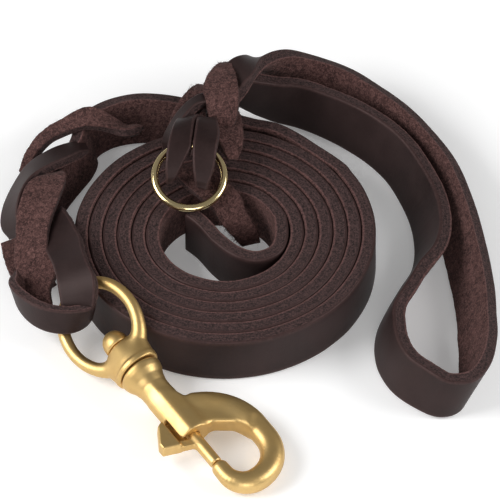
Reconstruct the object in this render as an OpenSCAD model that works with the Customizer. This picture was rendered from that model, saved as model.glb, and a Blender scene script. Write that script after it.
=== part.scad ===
// Braided leather training leash, rolled flat, with a brass O-ring and a
// swivel bolt snap. Units are mm, +Z is up, the leash lies on z = 0.
// The origin is on the floor under the middle of the whole leash; the
// routes are laid out from the middle of the roll instead.

/* [Strap] */
// Width of the leather strap; every route point grows with it
strap_w = 19; // [13:0.5:26]
// Thickness of the leather strap
strap_t = 4.6; // [3:0.1:5.6]
// Thickness of the skived strands in the two braids
strand_t = 3.4; // [2.4:0.1:4]
// Turns of strap in the roll
coil_turns = 6.1; // [3:0.1:7]
// Outer radius of the roll
coil_r = 54.5; // [50:0.5:60]
// Air between neighbouring turns
turn_gap = 0.4; // [0.3:0.05:1]

/* [Ring] */
// Outside diameter of the loose O-ring
ring_od = 27; // [22:0.5:32]
// Wire diameter of the O-ring
ring_wire = 2.7; // [2:0.1:3.5]

/* [Swivel eye] */
// Wire diameter of the swivel eye
eye_wire = 4.4; // [3.5:0.1:5]
// Half width of the eye, to the middle of the wire
eye_half = 14; // [12:0.25:16]
// Distance from the collar rim to the far end of the eye
eye_reach = 40; // [36:0.5:44]
// Radius of the collar at its rim
collar_r = 7.8; // [6:0.1:8]
// Length of the collar
collar_l = 11.5; // [9:0.5:14]
// Radius of the swivel stem
stem_r = 3; // [2:0.1:4]
// Running clearance of the stem in the collar, on the radius
stem_gap = 0.06; // [0.02:0.01:0.1]
// Air between the collar rim and the snap body
rim_gap = 0.7; // [0.4:0.1:1.2]

/* [Bolt snap] */
// Length of the barrel, from the collar rim
barrel_l = 33; // [30:0.5:36]
// Radius of the barrel
barrel_r = 5.6; // [5:0.1:6.5]
// Diameter of the hook bar
hook_d = 8; // [6:0.1:9]
// Radius of the sliding bolt
bolt_r = 2.3; // [1.8:0.1:2.6]
// Length of the thumb lever's wedge
lever_l = 12.5; // [11:0.5:14]
// Depth of the wedge at its crest
lever_h = 6.5; // [5:0.5:7.5]
// Depth of the wedge at its nose
lever_nose = 2.5; // [2:0.25:3]
// Running clearance of the bolt in its bore, on the radius
bolt_gap = 0.06; // [0.02:0.01:0.1]
// Travel of the bolt
bolt_travel = 9; // [6:0.5:11]
// Wire diameter of the bolt spring
spring_wire = 0.7; // [0.5:0.05:0.9]

/* [Hidden] */

// One scale for all the leather routes and the seats of the hardware
nominal_w = 19;
k = strap_w / nominal_w;

// Where the middle of the leash lies, seen from the middle of the roll
middle = [7, -11.5, 0];

leather = [0.23, 0.15, 0.14];
suede = [0.38, 0.22, 0.20];
brass = [0.80, 0.63, 0.30];
bright = [0.90, 0.76, 0.42];
steel = [0.62, 0.62, 0.64];

// Roll of strap
turn_pitch = strap_t + turn_gap;
coil_x = -2;
coil_y = 0.7;
coil_leave = 50;
coil_step = 7.5;
coil_n = floor(360 * coil_turns / coil_step);

// Seat and heading of the snap: the collar rim and the swivel axis
rim_at = [-30.6, -58.8, 11.9];
snap_head = -54.6;
snap_dip = 7;
eye_lean = 43;

// Seat and lean of the O-ring
oring_at = [-13.2, 21, 25.5];
oring_lean = 18;

// Routes. Each row is one station of a strap: the lower edge of the
// strap and the upper edge, both at the middle of its thickness.
inner_end_route = [
  [[19.2, 5.2, 0.2], [19.2, 5.2, 18.6]],
  [[18.9, -1, 0.2], [18.9, -1, 18.6]],
  [[16.6, -7.2, 0.2], [16.6, -7.2, 18.6]],
  [[10.5, -10.2, 0.2], [10.5, -10.2, 18.6]],
  [[3.4, -8, 0.2], [3.4, -8, 18.6]],
  [[-3, -1.7, 0.2], [-3, -1.7, 18.6]],
  [[-7, 4.2, 0.2], [-7, 4.2, 18.6]],
  [[-9.5, 7.5, 0.2], [-9.5, 7.5, 18.6]],
  [[-13, 11, 0.2], [-13, 11, 18.6]]
];
lead_route = [
  [[30.6, 42, 0.2], [30.6, 42, 18.9]],
  [[20, 49.3, 0.2], [20, 49.3, 18.9]],
  [[8, 53.6, 0.2], [8, 53.6, 18.9]],
  [[-5, 58.6, 0.2], [-5, 58.6, 18.9]],
  [[-16.5, 61.5, 0.6], [-16.5, 64, 18.9]],
  [[-30.5, 62, 0.8], [-30.5, 66, 18.8]],
  [[-41, 59.5, 0.8], [-41.5, 63, 18.7]],
  [[-47.5, 54, 0.8], [-50.5, 56, 18.3]],
  [[-47.5, 48.5, 1.2], [-53, 49, 16]],
  [[-49.5, 42.5, 1.3], [-56, 43, 14]],
  [[-53, 36.5, 1.4], [-59, 37, 13.5]],
  [[-57.5, 29, 1.3], [-62.5, 30, 13.5]],
  [[-61, 21.5, 1.1], [-65, 22.5, 13.5]],
  [[-63.5, 14, 0.8], [-66, 14.5, 12]],
  [[-65, 5, 0.6], [-66.5, 5, 10]],
  [[-65, -3, 0.5], [-66, -3, 8]]
];
snap_tail_route = [
  [[-29.5, 52.5, 17.5], [-30.5, 56, 14.5]],
  [[-35, 50, 17.5], [-35.5, 55, 14]],
  [[-41, 50.5, 18], [-40.5, 56.5, 17.5]],
  [[-46, 50.5, 19], [-45, 58, 20]],
  [[-50.5, 50.5, 19], [-50, 58.5, 20.5]],
  [[-57, 49, 17.5], [-58, 55, 18]],
  [[-62.5, 47.5, 15], [-65, 52, 14.5]],
  [[-67, 44, 11], [-70, 47.5, 10.5]],
  [[-69.5, 38, 8.5], [-73, 40, 8]]
];
snap_upper_route = [
  [[-48.5, 41.5, 16.5], [-50, 49, 13]],
  [[-55, 35.5, 18.5], [-56, 46, 14.5]],
  [[-62, 30.5, 19.5], [-62.5, 42, 15]],
  [[-68, 25.5, 19], [-69.5, 37, 13]],
  [[-71.5, 19, 17], [-75.5, 28.5, 8.5]],
  [[-72.5, 12, 13.5], [-78.5, 18, 6]],
  [[-69.5, 7, 11], [-76, 12, 3]]
];
snap_flesh_route = [
  [[-65, 26, 20.5], [-57.5, 31, 17.5]],
  [[-70, 20, 21], [-56.5, 24, 20]],
  [[-72.5, 11, 19.5], [-59, 14, 20.5]],
  [[-73.5, 2, 16.5], [-62, 3, 19.5]],
  [[-73.5, -6, 13], [-62, -7, 18]],
  [[-72, -14, 11], [-59.5, -15, 15]],
  [[-70, -20, 9.5], [-61.5, -20.5, 12]],
  [[-68.5, -27, 8], [-60.5, -27.5, 11]]
];
snap_lower_route = [
  [[-79, 6, 7], [-71, 8, 9]],
  [[-77.5, -2, 6.5], [-68, 0, 9]],
  [[-75.5, -9, 6.5], [-64.5, -7, 9.5]],
  [[-71.5, -15, 7.5], [-61.5, -13.5, 11]],
  [[-66, -20.5, 9], [-59.5, -17.5, 12]]
];
snap_wide_route = [
  [[-61.5, 12, 14], [-57.5, 13, 18.5]],
  [[-63.5, 4, 14.5], [-54, 4, 21]],
  [[-63.5, -4, 16], [-51, -6, 23.5]],
  [[-62, -12, 19.5], [-50, -15, 26.5]],
  [[-60, -20, 22.5], [-48, -23, 28.5]],
  [[-58.5, -27.5, 22.5], [-45.5, -30, 28]],
  [[-57.5, -33, 19.5], [-45.5, -35, 23.5]],
  [[-57, -35.3, 16.5], [-46.5, -37, 19.5]]
];
eye_fold_route = [
  [[-46.5, -33, 15.5], [-45.5, -32.5, 22]],
  [[-50, -37, 11.5], [-48.5, -37, 21.5]],
  [[-56, -39.2, 10.7], [-56, -38, 21.3]],
  [[-62.8, -37, 10.3], [-64, -35.5, 20.8]],
  [[-69, -31.2, 10.2], [-70.5, -30, 20.3]],
  [[-72, -24, 11], [-74.5, -23, 19]],
  [[-70.5, -17, 11.5], [-73.5, -15.5, 16.5]]
];
inner_leg_route = [
  [[3.5, 69.5, 12.5], [2.5, 67.5, 29]],
  [[10, 70, 7], [10, 69, 25.5]],
  [[17, 70, 3], [17, 70.8, 22]],
  [[26, 68.2, 1.3], [27, 71.5, 20]],
  [[37, 61.8, 1.3], [39.5, 65.7, 19.7]],
  [[48.5, 52.3, 1.3], [52.5, 56.8, 19.4]],
  [[57, 41.8, 1.3], [63, 45.8, 19]],
  [[62.5, 30, 1.3], [70, 33.3, 18.5]],
  [[66, 18, 1.4], [75, 20, 18]],
  [[67, 7, 1.4], [76.5, 7, 17.9]],
  [[66.2, -2.6, 1.4], [74.8, -4, 18.2]]
];
bend_route = [
  [[66, -3, 1.4], [74.5, -4.5, 18.2]],
  [[62, -12, 1.3], [69, -14.5, 18.8]],
  [[57.5, -22, 1.2], [64.5, -24.5, 19]],
  [[54, -32, 1.2], [60.5, -33, 19]],
  [[53, -41, 1.2], [60, -41, 19]],
  [[54.5, -50, 1.1], [61, -49.5, 19.1]],
  [[59, -58.5, 1], [64.5, -57.5, 19.2]],
  [[66, -65, 0.9], [71, -64, 19.3]],
  [[73, -68.5, 0.9], [77.5, -68.5, 19.4]],
  [[79, -66, 1], [85, -67, 19.1]],
  [[82, -57.5, 1.3], [90, -58.5, 18.5]],
  [[82.3, -46.8, 1.4], [92, -47, 17.8]]
];
outer_leg_route = [
  [[82.3, -46.4, 1.4], [92, -46.6, 17.8]],
  [[82, -36, 1.4], [92, -36, 17.5]],
  [[81.3, -22, 1.4], [91.3, -21, 17.5]],
  [[78.2, -2, 1.4], [88.2, -0.5, 17.5]],
  [[74.8, 16, 1.4], [84.4, 18.7, 17.5]],
  [[70.3, 31, 1.4], [79.3, 35.2, 17.7]],
  [[65.2, 42, 1.4], [73.2, 47, 17.9]],
  [[56.7, 55, 1.4], [62.8, 61, 18.4]],
  [[46.7, 65, 1.4], [51.8, 72, 18.4]],
  [[37.2, 72.5, 1.8], [41.2, 80, 18.8]],
  [[28.5, 77, 3], [31, 83, 20.5]],
  [[19, 80, 9], [21, 79.5, 26.5]],
  [[10, 81, 19], [13, 71.5, 30.5]],
  [[3.5, 74, 28.5], [8, 60.5, 31.5]],
  [[-2.5, 69, 26.5], [2.5, 54, 28.5]]
];
strand_top_route = [
  [[-1.5, 75.5, 24], [1.5, 75, 25.5]],
  [[-4, 69.5, 28.5], [2, 69, 30]],
  [[-7.5, 61.5, 30.5], [3.5, 60.5, 32.5]],
  [[-8.5, 56.5, 31], [4, 55, 32.5]],
  [[-7.5, 51.5, 31], [4, 50.5, 32]],
  [[-6.5, 46.5, 29.5], [3.5, 45.5, 30]],
  [[-4, 41.5, 27], [2, 42, 28]]
];
strand_lobe_route = [
  [[-1, 53, 24], [4, 53, 24]],
  [[-5, 45.5, 27], [5, 46, 26.5]],
  [[-4, 38.5, 28], [5.5, 39, 26.5]],
  [[-2, 33.5, 27], [5, 34, 25.5]],
  [[0.5, 29.5, 25], [3.5, 30, 24.5]]
];
strand_cross_route = [
  [[-5, 58, 28], [-4.5, 52.5, 29]],
  [[-10.5, 54.5, 30.5], [-10, 48.5, 32]],
  [[-16, 48, 30], [-14, 42.5, 32.5]],
  [[-20.5, 42, 26], [-18, 37.5, 29]],
  [[-22.5, 38, 21.5], [-19.5, 35, 23.5]]
];
strand_back_route = [
  [[-9.5, 68, 21.5], [-1.5, 65, 24]],
  [[-13.5, 62, 25], [-5.5, 57, 27]],
  [[-18, 54, 25], [-10.5, 50.5, 26.5]],
  [[-20.5, 45, 23.5], [-13, 43, 25]],
  [[-20.5, 38, 22], [-13, 37.5, 23]]
];
core_route = [
  [[4, 66, 21.5], [-6, 68, 21.5]],
  [[4, 57, 22.5], [-7, 58, 22.5]],
  [[2, 49, 23], [-8, 49, 23]],
  [[-1, 41.5, 22.5], [-11, 41.5, 22.5]],
  [[-4, 35, 21.7], [-13, 35, 21.7]]
];
flap_left_route = [
  [[-17, 44, 29.5], [-8.5, 45, 31]],
  [[-18.5, 38.5, 32.5], [-11, 39.5, 34]],
  [[-20, 32, 34], [-12, 32.5, 34.5]],
  [[-21, 26.5, 33], [-12.5, 27, 33.5]],
  [[-21.5, 21.5, 29], [-15.5, 22.5, 30]],
  [[-21, 19, 24], [-19, 18.5, 24.5]]
];
flap_right_route = [
  [[-11, 44, 30.5], [-4, 44, 30]],
  [[-11, 38.5, 34], [-3.5, 38.5, 33]],
  [[-11.5, 33, 34.5], [-3, 33, 34]],
  [[-12, 27.5, 34], [-3.5, 27, 34]],
  [[-12, 21.5, 30], [-4.5, 21.5, 29.5]],
  [[-11, 17, 24.5], [-7, 16, 24]]
];
tail_route = [
  [[-19, 29, 21], [-7, 32, 21]],
  [[-16.5, 23, 21], [-4, 27.5, 21]],
  [[-11.5, 17, 21], [-0.5, 22, 21]],
  [[-5.5, 12.5, 18.5], [4, 17.5, 19.5]],
  [[-2.5, 9.5, 14.5], [6.5, 13, 16]],
  [[1.5, 8, 9.5], [10, 10.5, 11]],
  [[5, 7, 5], [11.5, 8, 6]]
];

// One point of a smooth curve through four neighbouring stations
function curve(a, b, c, d, t) =
  0.5 * (2 * b + (c - a) * t + (2 * a - 5 * b + 4 * c - d) * t * t
    + (3 * b - a - 3 * c + d) * t * t * t);

// Station rows as two lists of edge points, eased between the stations
function edge_at(r, e, i, t) = let (n = len(r) - 1) curve(
  i > 0 ? r[i - 1][e] : 2 * r[0][e] - r[1][e],
  r[i][e],
  r[i + 1][e],
  i + 2 <= n ? r[i + 2][e] : 2 * r[n][e] - r[n - 1][e],
  t);
function edge_line(r, e, s) = [
  for (i = [0 : len(r) - 2]) for (j = [0 : s - 1]) edge_at(r, e, i, j / s),
  r[len(r) - 1][e]
];
function unit(v) = v / norm(v);

// A strap through its stations, th thick, s steps between stations
module strap(route, th, s) {
  low = edge_line(route, 0, s);
  top = edge_line(route, 1, s);
  n = len(low);
  mid = (low + top) / 2;
  out = [for (i = [0 : n - 1]) unit(cross(
    mid[min(i + 1, n - 1)] - mid[max(i - 1, 0)], top[i] - low[i])) * th / (2 * k)];
  pts = [for (i = [0 : n - 1]) each [
    low[i] + out[i], top[i] + out[i], top[i] - out[i], low[i] - out[i]]];
  skin = [for (i = [0 : n - 2]) for (j = [0 : 3]) let (
    a = 4 * i + j,
    b = 4 * i + (j + 1) % 4) each [[a, b, b + 4], [a, b + 4, a + 4]]];
  z = 4 * (n - 1);
  caps = [[0, 2, 1], [0, 3, 2], [z, z + 1, z + 2], [z, z + 2, z + 3]];
  on_floor() polyhedron(points = pts, faces = concat(skin, caps), convexity = 6);
}

// Frame of the routes, from the middle of the roll
module on_floor() {
  scale(k) translate(-middle) children();
}

// Frame of the snap: +X down the swivel axis from the collar rim
module on_snap() {
  on_floor() translate(rim_at) rotate([0, snap_dip, snap_head]) children();
}
module on_eye() {
  on_snap() rotate([eye_lean, 0, 0]) children();
}

// Flat roll of strap, standing on its cut edge
function roll_at(i, side) = let (
  a = coil_leave - i * coil_step,
  r = coil_r - strap_t / 2 - turn_pitch * i * coil_step / 360 + side * strap_t / 2)
  [coil_x + r * cos(a), coil_y + r * sin(a)];

module strap_coil() {
  color(leather) on_floor() linear_extrude(height = nominal_w)
    polygon(concat(
      [for (i = [0 : coil_n]) roll_at(i, 1)],
      [for (i = [coil_n : -1 : 0]) roll_at(i, -1)]));
}
module strap_inner_end() {
  color(leather) strap(inner_end_route, strap_t, 3);
}
module strap_lead_out() {
  color(leather) strap(lead_route, strap_t, 3);
}
module snap_tail() {
  color(suede) strap(snap_tail_route, strand_t, 3);
}
module snap_strand_upper() {
  color(leather) strap(snap_upper_route, strand_t, 3);
}
module snap_strand_flesh() {
  color(suede) strap(snap_flesh_route, strand_t, 3);
}
module snap_strand_lower() {
  color(suede) strap(snap_lower_route, strand_t, 3);
}
module snap_strand_wide() {
  color(leather) strap(snap_wide_route, strand_t, 3);
}
module eye_fold() {
  color(leather) strap(eye_fold_route, strand_t, 3);
}
module handle_inner_leg() {
  color(leather) strap(inner_leg_route, strap_t, 3);
}
module handle_bend() {
  color(leather) strap(bend_route, strap_t, 3);
}
module handle_outer_leg() {
  color(leather) strap(outer_leg_route, strap_t, 3);
}
module handle_strand_top() {
  color(suede) strap(strand_top_route, strand_t, 3);
}
module handle_strand_lobe() {
  color(suede) strap(strand_lobe_route, strand_t, 3);
}
module handle_strand_cross() {
  color(leather) strap(strand_cross_route, strand_t, 3);
}
module handle_strand_back() {
  color(suede) strap(strand_back_route, strand_t, 3);
}
module handle_core() {
  color(leather) strap(core_route, strand_t, 3);
}
module ring_flap_left() {
  color(leather) strap(flap_left_route, strand_t, 3);
}
module ring_flap_right() {
  color(leather) strap(flap_right_route, strand_t, 3);
}
module handle_tail() {
  color(suede) strap(tail_route, strand_t, 3);
}

// Loose brass ring held under the two flaps
module o_ring() {
  color(bright) on_floor() translate(oring_at) rotate([oring_lean, 0, 0])
    rotate_extrude($fn = 96)
      translate([(ring_od - ring_wire) / 2, 0]) circle(d = ring_wire, $fn = 24);
}

// Swivel eye: a rounded oblong wire that runs into a pierced collar
eye_corner = 8;
eye_side = eye_reach - eye_half - 14;
module wire_arc(r, from, sweep) {
  rotate([0, 0, from]) rotate_extrude(angle = sweep, $fn = 96)
    translate([r, 0]) circle(d = eye_wire, $fn = 24);
}
module swivel_eye() {
  color(brass) on_eye() difference() {
    union() {
      translate([eye_half - eye_reach, 0, 0]) wire_arc(eye_half, 90, 180);
      for (s = [-1, 1]) translate([-14 - eye_side, s * eye_half, 0])
        rotate([0, 90, 0]) cylinder(d = eye_wire, h = eye_side, $fn = 24);
      for (s = [0, 1]) mirror([0, s, 0]) translate([-14, eye_half - eye_corner, 0])
        wire_arc(eye_corner, 0, 90);
      rotate([0, -90, 0]) rotate_extrude($fn = 64) polygon([
        [0, 0], [collar_r, 0], [collar_r, 1.2], [collar_r - 0.6, 4],
        [collar_r - 1.4, 8], [collar_r - 2.4, collar_l], [0, collar_l]]);
    }
    rotate([0, -90, 0]) translate([0, 0, -1])
      cylinder(r = stem_r + stem_gap, h = collar_l + 2, $fn = 48);
  }
}

// Stem of the swivel with its peened head inside the eye
head_gap = 0.3;
module swivel_stem() {
  color(brass) on_snap() {
    translate([rim_gap + 3, 0, 0]) rotate([0, -90, 0])
      rotate_extrude($fn = 64) polygon([
        [0, 0], [stem_r, 0],
        [stem_r, collar_l + head_gap + rim_gap + 3],
        [4.4, collar_l + head_gap + rim_gap + 3],
        [4.3, collar_l + head_gap + rim_gap + 4.2],
        [3.8, collar_l + head_gap + rim_gap + 5.5],
        [2.6, collar_l + head_gap + rim_gap + 6.5],
        [1.2, collar_l + head_gap + rim_gap + 6.9],
        [0, collar_l + head_gap + rim_gap + 7]]);
  }
}

// Hook, barrel and neck in one casting
hook_far = 13.5;
hook_near = 7.5;
shoulder = 20;
hook_u = 46.5;
shoulder_u = 40;
tip_u = 47.6;
tip_d = 6.4;
bore_from = 9;
slot_w = 3.6;
module bar_arc(r, from, sweep) {
  rotate([0, 0, from]) rotate_extrude(angle = sweep, $fn = 96)
    translate([r, 0]) circle(d = hook_d, $fn = 32);
}
module snap_hook() {
  hook_v = hook_near + hook_far;
  color(brass) on_snap() difference() {
    union() {
      rotate([0, 90, 0]) rotate_extrude($fn = 64) polygon([
        [0, rim_gap], [collar_r - 0.2, rim_gap], [collar_r, rim_gap + 0.6],
        [collar_r - 0.4, 3.6], [barrel_r - 0.4, 8], [barrel_r, 14],
        [barrel_r, barrel_l - 1.5], [barrel_r - 1.2, barrel_l], [0, barrel_l]]);
      translate([shoulder_u, hook_v - shoulder, 0]) bar_arc(shoulder, 90, 72);
      translate([shoulder_u, hook_v, 0]) rotate([0, 90, 0])
        cylinder(d = hook_d, h = hook_u - shoulder_u, $fn = 32);
      translate([hook_u, hook_near, 0]) bar_arc(hook_far, 0, 90);
      translate([hook_u + hook_far - hook_near, hook_near, 0])
        bar_arc(hook_near, -90, 90);
      translate([tip_u, 0, 0]) rotate([0, 90, 0]) cylinder(
        d1 = tip_d, d2 = hook_d, h = hook_u + hook_far - hook_near - tip_u, $fn = 32);
      translate([0, 0, -3]) linear_extrude(height = 6) polygon([
        [17, 3], [barrel_l, 2], [34, 9.5], [38, 14.8], [42, 18], [30, 16.5], [23, 11]]);
    }
    translate([bore_from, 0, 0]) rotate([0, 90, 0])
      cylinder(r = bolt_r + bolt_gap, h = barrel_l - bore_from + 1, $fn = 48);
    rotate([0, 90, 0]) translate([0, 0, -1])
      cylinder(r = stem_r, h = rim_gap + 4, $fn = 48);
    translate([barrel_l - bolt_travel - 0.6, -barrel_r - 2, -slot_w / 2])
      cube([bolt_travel + 3, barrel_r + 2, slot_w]);
  }
}

// Sliding bolt and the wedge that pulls it back
bolt_from = 22;
bolt_to = 47.2;
lever_neck = 3;
module snap_bolt() {
  color(brass) on_snap() rotate([0, 90, 0]) translate([0, 0, bolt_from])
    cylinder(r = bolt_r, h = bolt_to - bolt_from, $fn = 48);
}
lever_gap = 1;
lever_lean = 2;
lever_crest = 2.5;
lever_root = 3;
lever_thick = 5.2;
lever_heel = bolt_to - 11.7;
lever_top = barrel_r + lever_gap;
module lever_wedge() {
  nose = lever_heel - lever_l;
  polygon([
    [nose, -lever_top],
    [nose + lever_nose / 2, -lever_top - lever_nose],
    [lever_heel - lever_lean - lever_crest, -lever_top - lever_h],
    [lever_heel - lever_lean, -lever_top - lever_h],
    [lever_heel, -lever_top]]);
}
module lever_neck_side() {
  polygon([
    [lever_heel - lever_root, -lever_top - lever_gap],
    [lever_heel, -lever_top - lever_gap],
    [lever_heel + lever_lean, -bolt_r / 2],
    [lever_heel + lever_lean - lever_root, -bolt_r / 2]]);
}
module thumb_lever() {
  color(brass) on_snap() difference() {
    union() {
      translate([0, 0, -lever_neck / 2])
        linear_extrude(height = lever_neck) lever_neck_side();
      translate([0, 0, -lever_thick / 2])
        linear_extrude(height = lever_thick) lever_wedge();
    }
    rotate([0, 90, 0]) translate([0, 0, 30])
      cylinder(r = bolt_r, h = 12, $fn = 48);
  }
}

// Spring behind the bolt
spring_turns = 6;
spring_sides = 6;
spring_ring = 8;
module bolt_spring() {
  n = spring_turns * spring_ring;
  mean_r = bolt_r - spring_wire / 2 - 0.1;
  lo = bore_from + spring_wire / 2 + 0.1;
  hi = bolt_from - spring_wire / 2 - 0.1;
  pts = [for (i = [0 : n]) let (
    a = 360 * i / spring_ring,
    x = lo + (hi - lo) * i / n)
    for (j = [0 : spring_sides - 1]) let (
      b = 360 * j / spring_sides,
      r = mean_r + spring_wire / 2 * cos(b))
      [x + spring_wire / 2 * sin(b), r * cos(a), r * sin(a)]];
  skin = [for (i = [0 : n - 1]) for (j = [0 : spring_sides - 1]) let (
    p = i * spring_sides + j,
    q = i * spring_sides + (j + 1) % spring_sides)
    each [[p, q, q + spring_sides], [p, q + spring_sides, p + spring_sides]]];
  caps = [[for (j = [spring_sides - 1 : -1 : 0]) j],
    [for (j = [0 : spring_sides - 1]) n * spring_sides + j]];
  color(steel) on_snap() polyhedron(points = pts, faces = concat(skin, caps));
}

strap_coil();
strap_inner_end();
strap_lead_out();
snap_tail();
snap_strand_upper();
snap_strand_flesh();
snap_strand_lower();
snap_strand_wide();
eye_fold();
handle_inner_leg();
handle_bend();
handle_outer_leg();
handle_strand_top();
handle_strand_lobe();
handle_strand_cross();
handle_strand_back();
handle_core();
ring_flap_left();
ring_flap_right();
handle_tail();
o_ring();
swivel_eye();
swivel_stem();
snap_hook();
snap_bolt();
thumb_lever();
bolt_spring();
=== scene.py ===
"""A rolled leather training leash with two braids, a brass O-ring and a swivel bolt snap.

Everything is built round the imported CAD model, in its own frame and in metres. The routes of
the leather are written in millimetres from the middle of the roll, as a maker would lay them
out, and are moved to the shared frame when a piece is made.
"""

import logging
import math
from dataclasses import dataclass, field
from enum import Enum, IntEnum

import bpy
import numpy as np
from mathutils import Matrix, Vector


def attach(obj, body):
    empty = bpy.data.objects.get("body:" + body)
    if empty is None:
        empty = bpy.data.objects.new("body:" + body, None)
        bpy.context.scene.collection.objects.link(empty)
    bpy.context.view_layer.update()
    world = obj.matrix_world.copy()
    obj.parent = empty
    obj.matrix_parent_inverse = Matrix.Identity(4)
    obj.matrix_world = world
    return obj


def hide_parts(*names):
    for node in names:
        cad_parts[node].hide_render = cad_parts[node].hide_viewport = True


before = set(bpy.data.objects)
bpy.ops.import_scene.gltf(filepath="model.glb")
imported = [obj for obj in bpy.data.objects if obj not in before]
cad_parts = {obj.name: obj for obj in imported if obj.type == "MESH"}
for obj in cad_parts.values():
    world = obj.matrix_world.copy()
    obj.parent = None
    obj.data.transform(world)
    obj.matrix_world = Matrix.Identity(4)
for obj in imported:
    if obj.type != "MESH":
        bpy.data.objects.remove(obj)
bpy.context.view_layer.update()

log = logging.getLogger("leash")

MM = 0.001
ROLL_MIDDLE = np.array([7.0, -11.5, 0.0])
STRAP_THICK = 4.6
STRAND_THICK = 3.4
LOWEST_LEATHER = 0.06
LOWEST_FIBRE = 0.02
# Taken from a distance where a cut doesn't apply.
FAR = 1e3

Rows = list[tuple[tuple[float, float, float], tuple[float, float, float]]]


# --------------------------------------------------------------------------- small tools


def to_frame(points: np.ndarray) -> np.ndarray:
    """Moves points from the middle of the roll, in mm, to the shared frame, in metres.

    Args:
        points: any array whose last axis is x, y, z in mm.

    Returns:
        The same array in metres: (point - middle of the leash) / 1000.
    """
    return (np.asarray(points, float) - ROLL_MIDDLE) * MM


def unit(vectors: np.ndarray) -> np.ndarray:
    """Vectors of length one along the last axis."""
    size = np.linalg.norm(vectors, axis=-1, keepdims=True)
    return vectors / np.maximum(size, 1e-9)


def ease(low: float, high: float, value: np.ndarray) -> np.ndarray:
    """Smooth step: 0 below low, 1 above high, and 3t^2 - 2t^3 in between."""
    t = np.clip((value - low) / (high - low), 0.0, 1.0)
    return t * t * (3.0 - 2.0 * t)


def lattice_noise(points: np.ndarray, cell: float, seed: int) -> np.ndarray:
    """Value noise: a fixed random number at each lattice corner, eased between the corners.

    Args:
        points: array of points, last axis x, y, z, in mm.
        cell: side of a lattice cube in mm.
        seed: number that picks the lattice's values.

    Returns:
        One number from -1 to 1 for each point.
    """
    q = points / cell
    base = np.floor(q).astype(np.int64)
    t = q - base
    t = t * t * (3.0 - 2.0 * t)
    total = np.zeros(points.shape[:-1])
    for corner in range(8):
        step = np.array([corner & 1, corner >> 1 & 1, corner >> 2 & 1])
        weight = np.prod(np.where(step == 1, t, 1.0 - t), axis=-1)
        x, y, z = np.moveaxis(base + step, -1, 0)
        h = (x * 73856093) ^ (y * 19349663) ^ (z * 83492791) ^ (seed * 668265263)
        h = (h ^ (h >> 13)) * 1274126177
        h = (h ^ (h >> 16)) & 0xFFFFFF
        total += weight * (h / float(0xFFFFFF))
    return 2.0 * total - 1.0


def catmull_rom(stations: np.ndarray, steps: int) -> np.ndarray:
    """Smooth curve through stations: each span is the cubic of its four nearest stations.

    Args:
        stations: array (n, ...) of stations.
        steps: points in each span.

    Returns:
        Array ((n - 1) * steps + 1, ...) of points along the curve.
    """
    before = np.concatenate([2 * stations[:1] - stations[1:2], stations[:-2]])
    after = np.concatenate([stations[2:], 2 * stations[-1:] - stations[-2:-1]])
    a, b, c, d = before, stations[:-1], stations[1:], after
    shape = (1, steps) + (1,) * (stations.ndim - 1)
    t = (np.arange(steps) / steps).reshape(shape)
    a, b, c, d = (x[:, None] for x in (a, b, c, d))
    curve = 0.5 * (
        2 * b
        + (c - a) * t
        + (2 * a - 5 * b + 4 * c - d) * t**2
        + (3 * b - a - 3 * c + d) * t**3
    )
    flat = curve.reshape((-1,) + stations.shape[1:])
    return np.concatenate([flat, stations[-1:]])


def even_steps(line: np.ndarray, spacing: float) -> np.ndarray:
    """Respaces a pair of edge lines so that their middle line has even steps.

    Args:
        line: array (n, 2, 3), the two edges of a strap.
        spacing: wanted step in mm.

    Returns:
        Array (m, 2, 3) on the same two edges.
    """
    middle = line.mean(1)
    run = np.concatenate([[0.0], np.cumsum(np.linalg.norm(np.diff(middle, axis=0), axis=1))])
    count = max(8, int(round(run[-1] / spacing)))
    wanted = np.linspace(0.0, run[-1], count + 1)
    flat = line.reshape(len(line), -1)
    out = np.stack([np.interp(wanted, run, flat[:, i]) for i in range(flat.shape[1])], 1)
    return out.reshape(-1, 2, 3)


def make_object(
    name: str,
    points: np.ndarray,
    faces: list[np.ndarray],
    zones: np.ndarray | None = None,
    floats: dict[str, np.ndarray] | None = None,
    uv: np.ndarray | None = None,
) -> bpy.types.Object:
    """Puts whole arrays into a new mesh object that sits at the origin.

    Args:
        name: name of the piece.
        points: (n, 3) vertices in metres in the shared frame.
        faces: arrays of vertex numbers, one array for each face size.
        zones: material index of each face, in the order of faces.
        floats: named numbers for each vertex.
        uv: (n, 2) texture place of each vertex in metres along and across the leather.

    Returns:
        The linked, smooth-shaded object.
    """
    mesh = bpy.data.meshes.new(name)
    loops = np.concatenate([f.ravel() for f in faces]).astype(np.int32)
    sizes = np.concatenate([np.full(len(f), f.shape[1]) for f in faces])
    mesh.vertices.add(len(points))
    mesh.vertices.foreach_set("co", points.astype(np.float32).ravel())
    mesh.loops.add(len(loops))
    mesh.loops.foreach_set("vertex_index", loops)
    mesh.polygons.add(len(sizes))
    starts = np.concatenate([[0], np.cumsum(sizes)[:-1]]).astype(np.int32)
    mesh.polygons.foreach_set("loop_start", starts)
    mesh.update(calc_edges=True)
    if zones is not None:
        mesh.polygons.foreach_set("material_index", zones.astype(np.int32))
    for key, values in (floats or {}).items():
        mesh.attributes.new(key, "FLOAT", "POINT").data.foreach_set(
            "value", values.astype(np.float32)
        )
    if uv is not None:
        layer = mesh.uv_layers.new(name="UVMap")
        layer.data.foreach_set("uv", uv[loops].astype(np.float32).ravel())
    mesh.shade_smooth()
    mesh.validate()
    obj = bpy.data.objects.new(name, mesh)
    bpy.context.scene.collection.objects.link(obj)
    return obj


def dress(obj: bpy.types.Object, *materials: bpy.types.Material) -> bpy.types.Object:
    """Gives a piece its materials, in slot order, and returns the piece."""
    for material in materials:
        obj.data.materials.append(material)
    return obj


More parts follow.
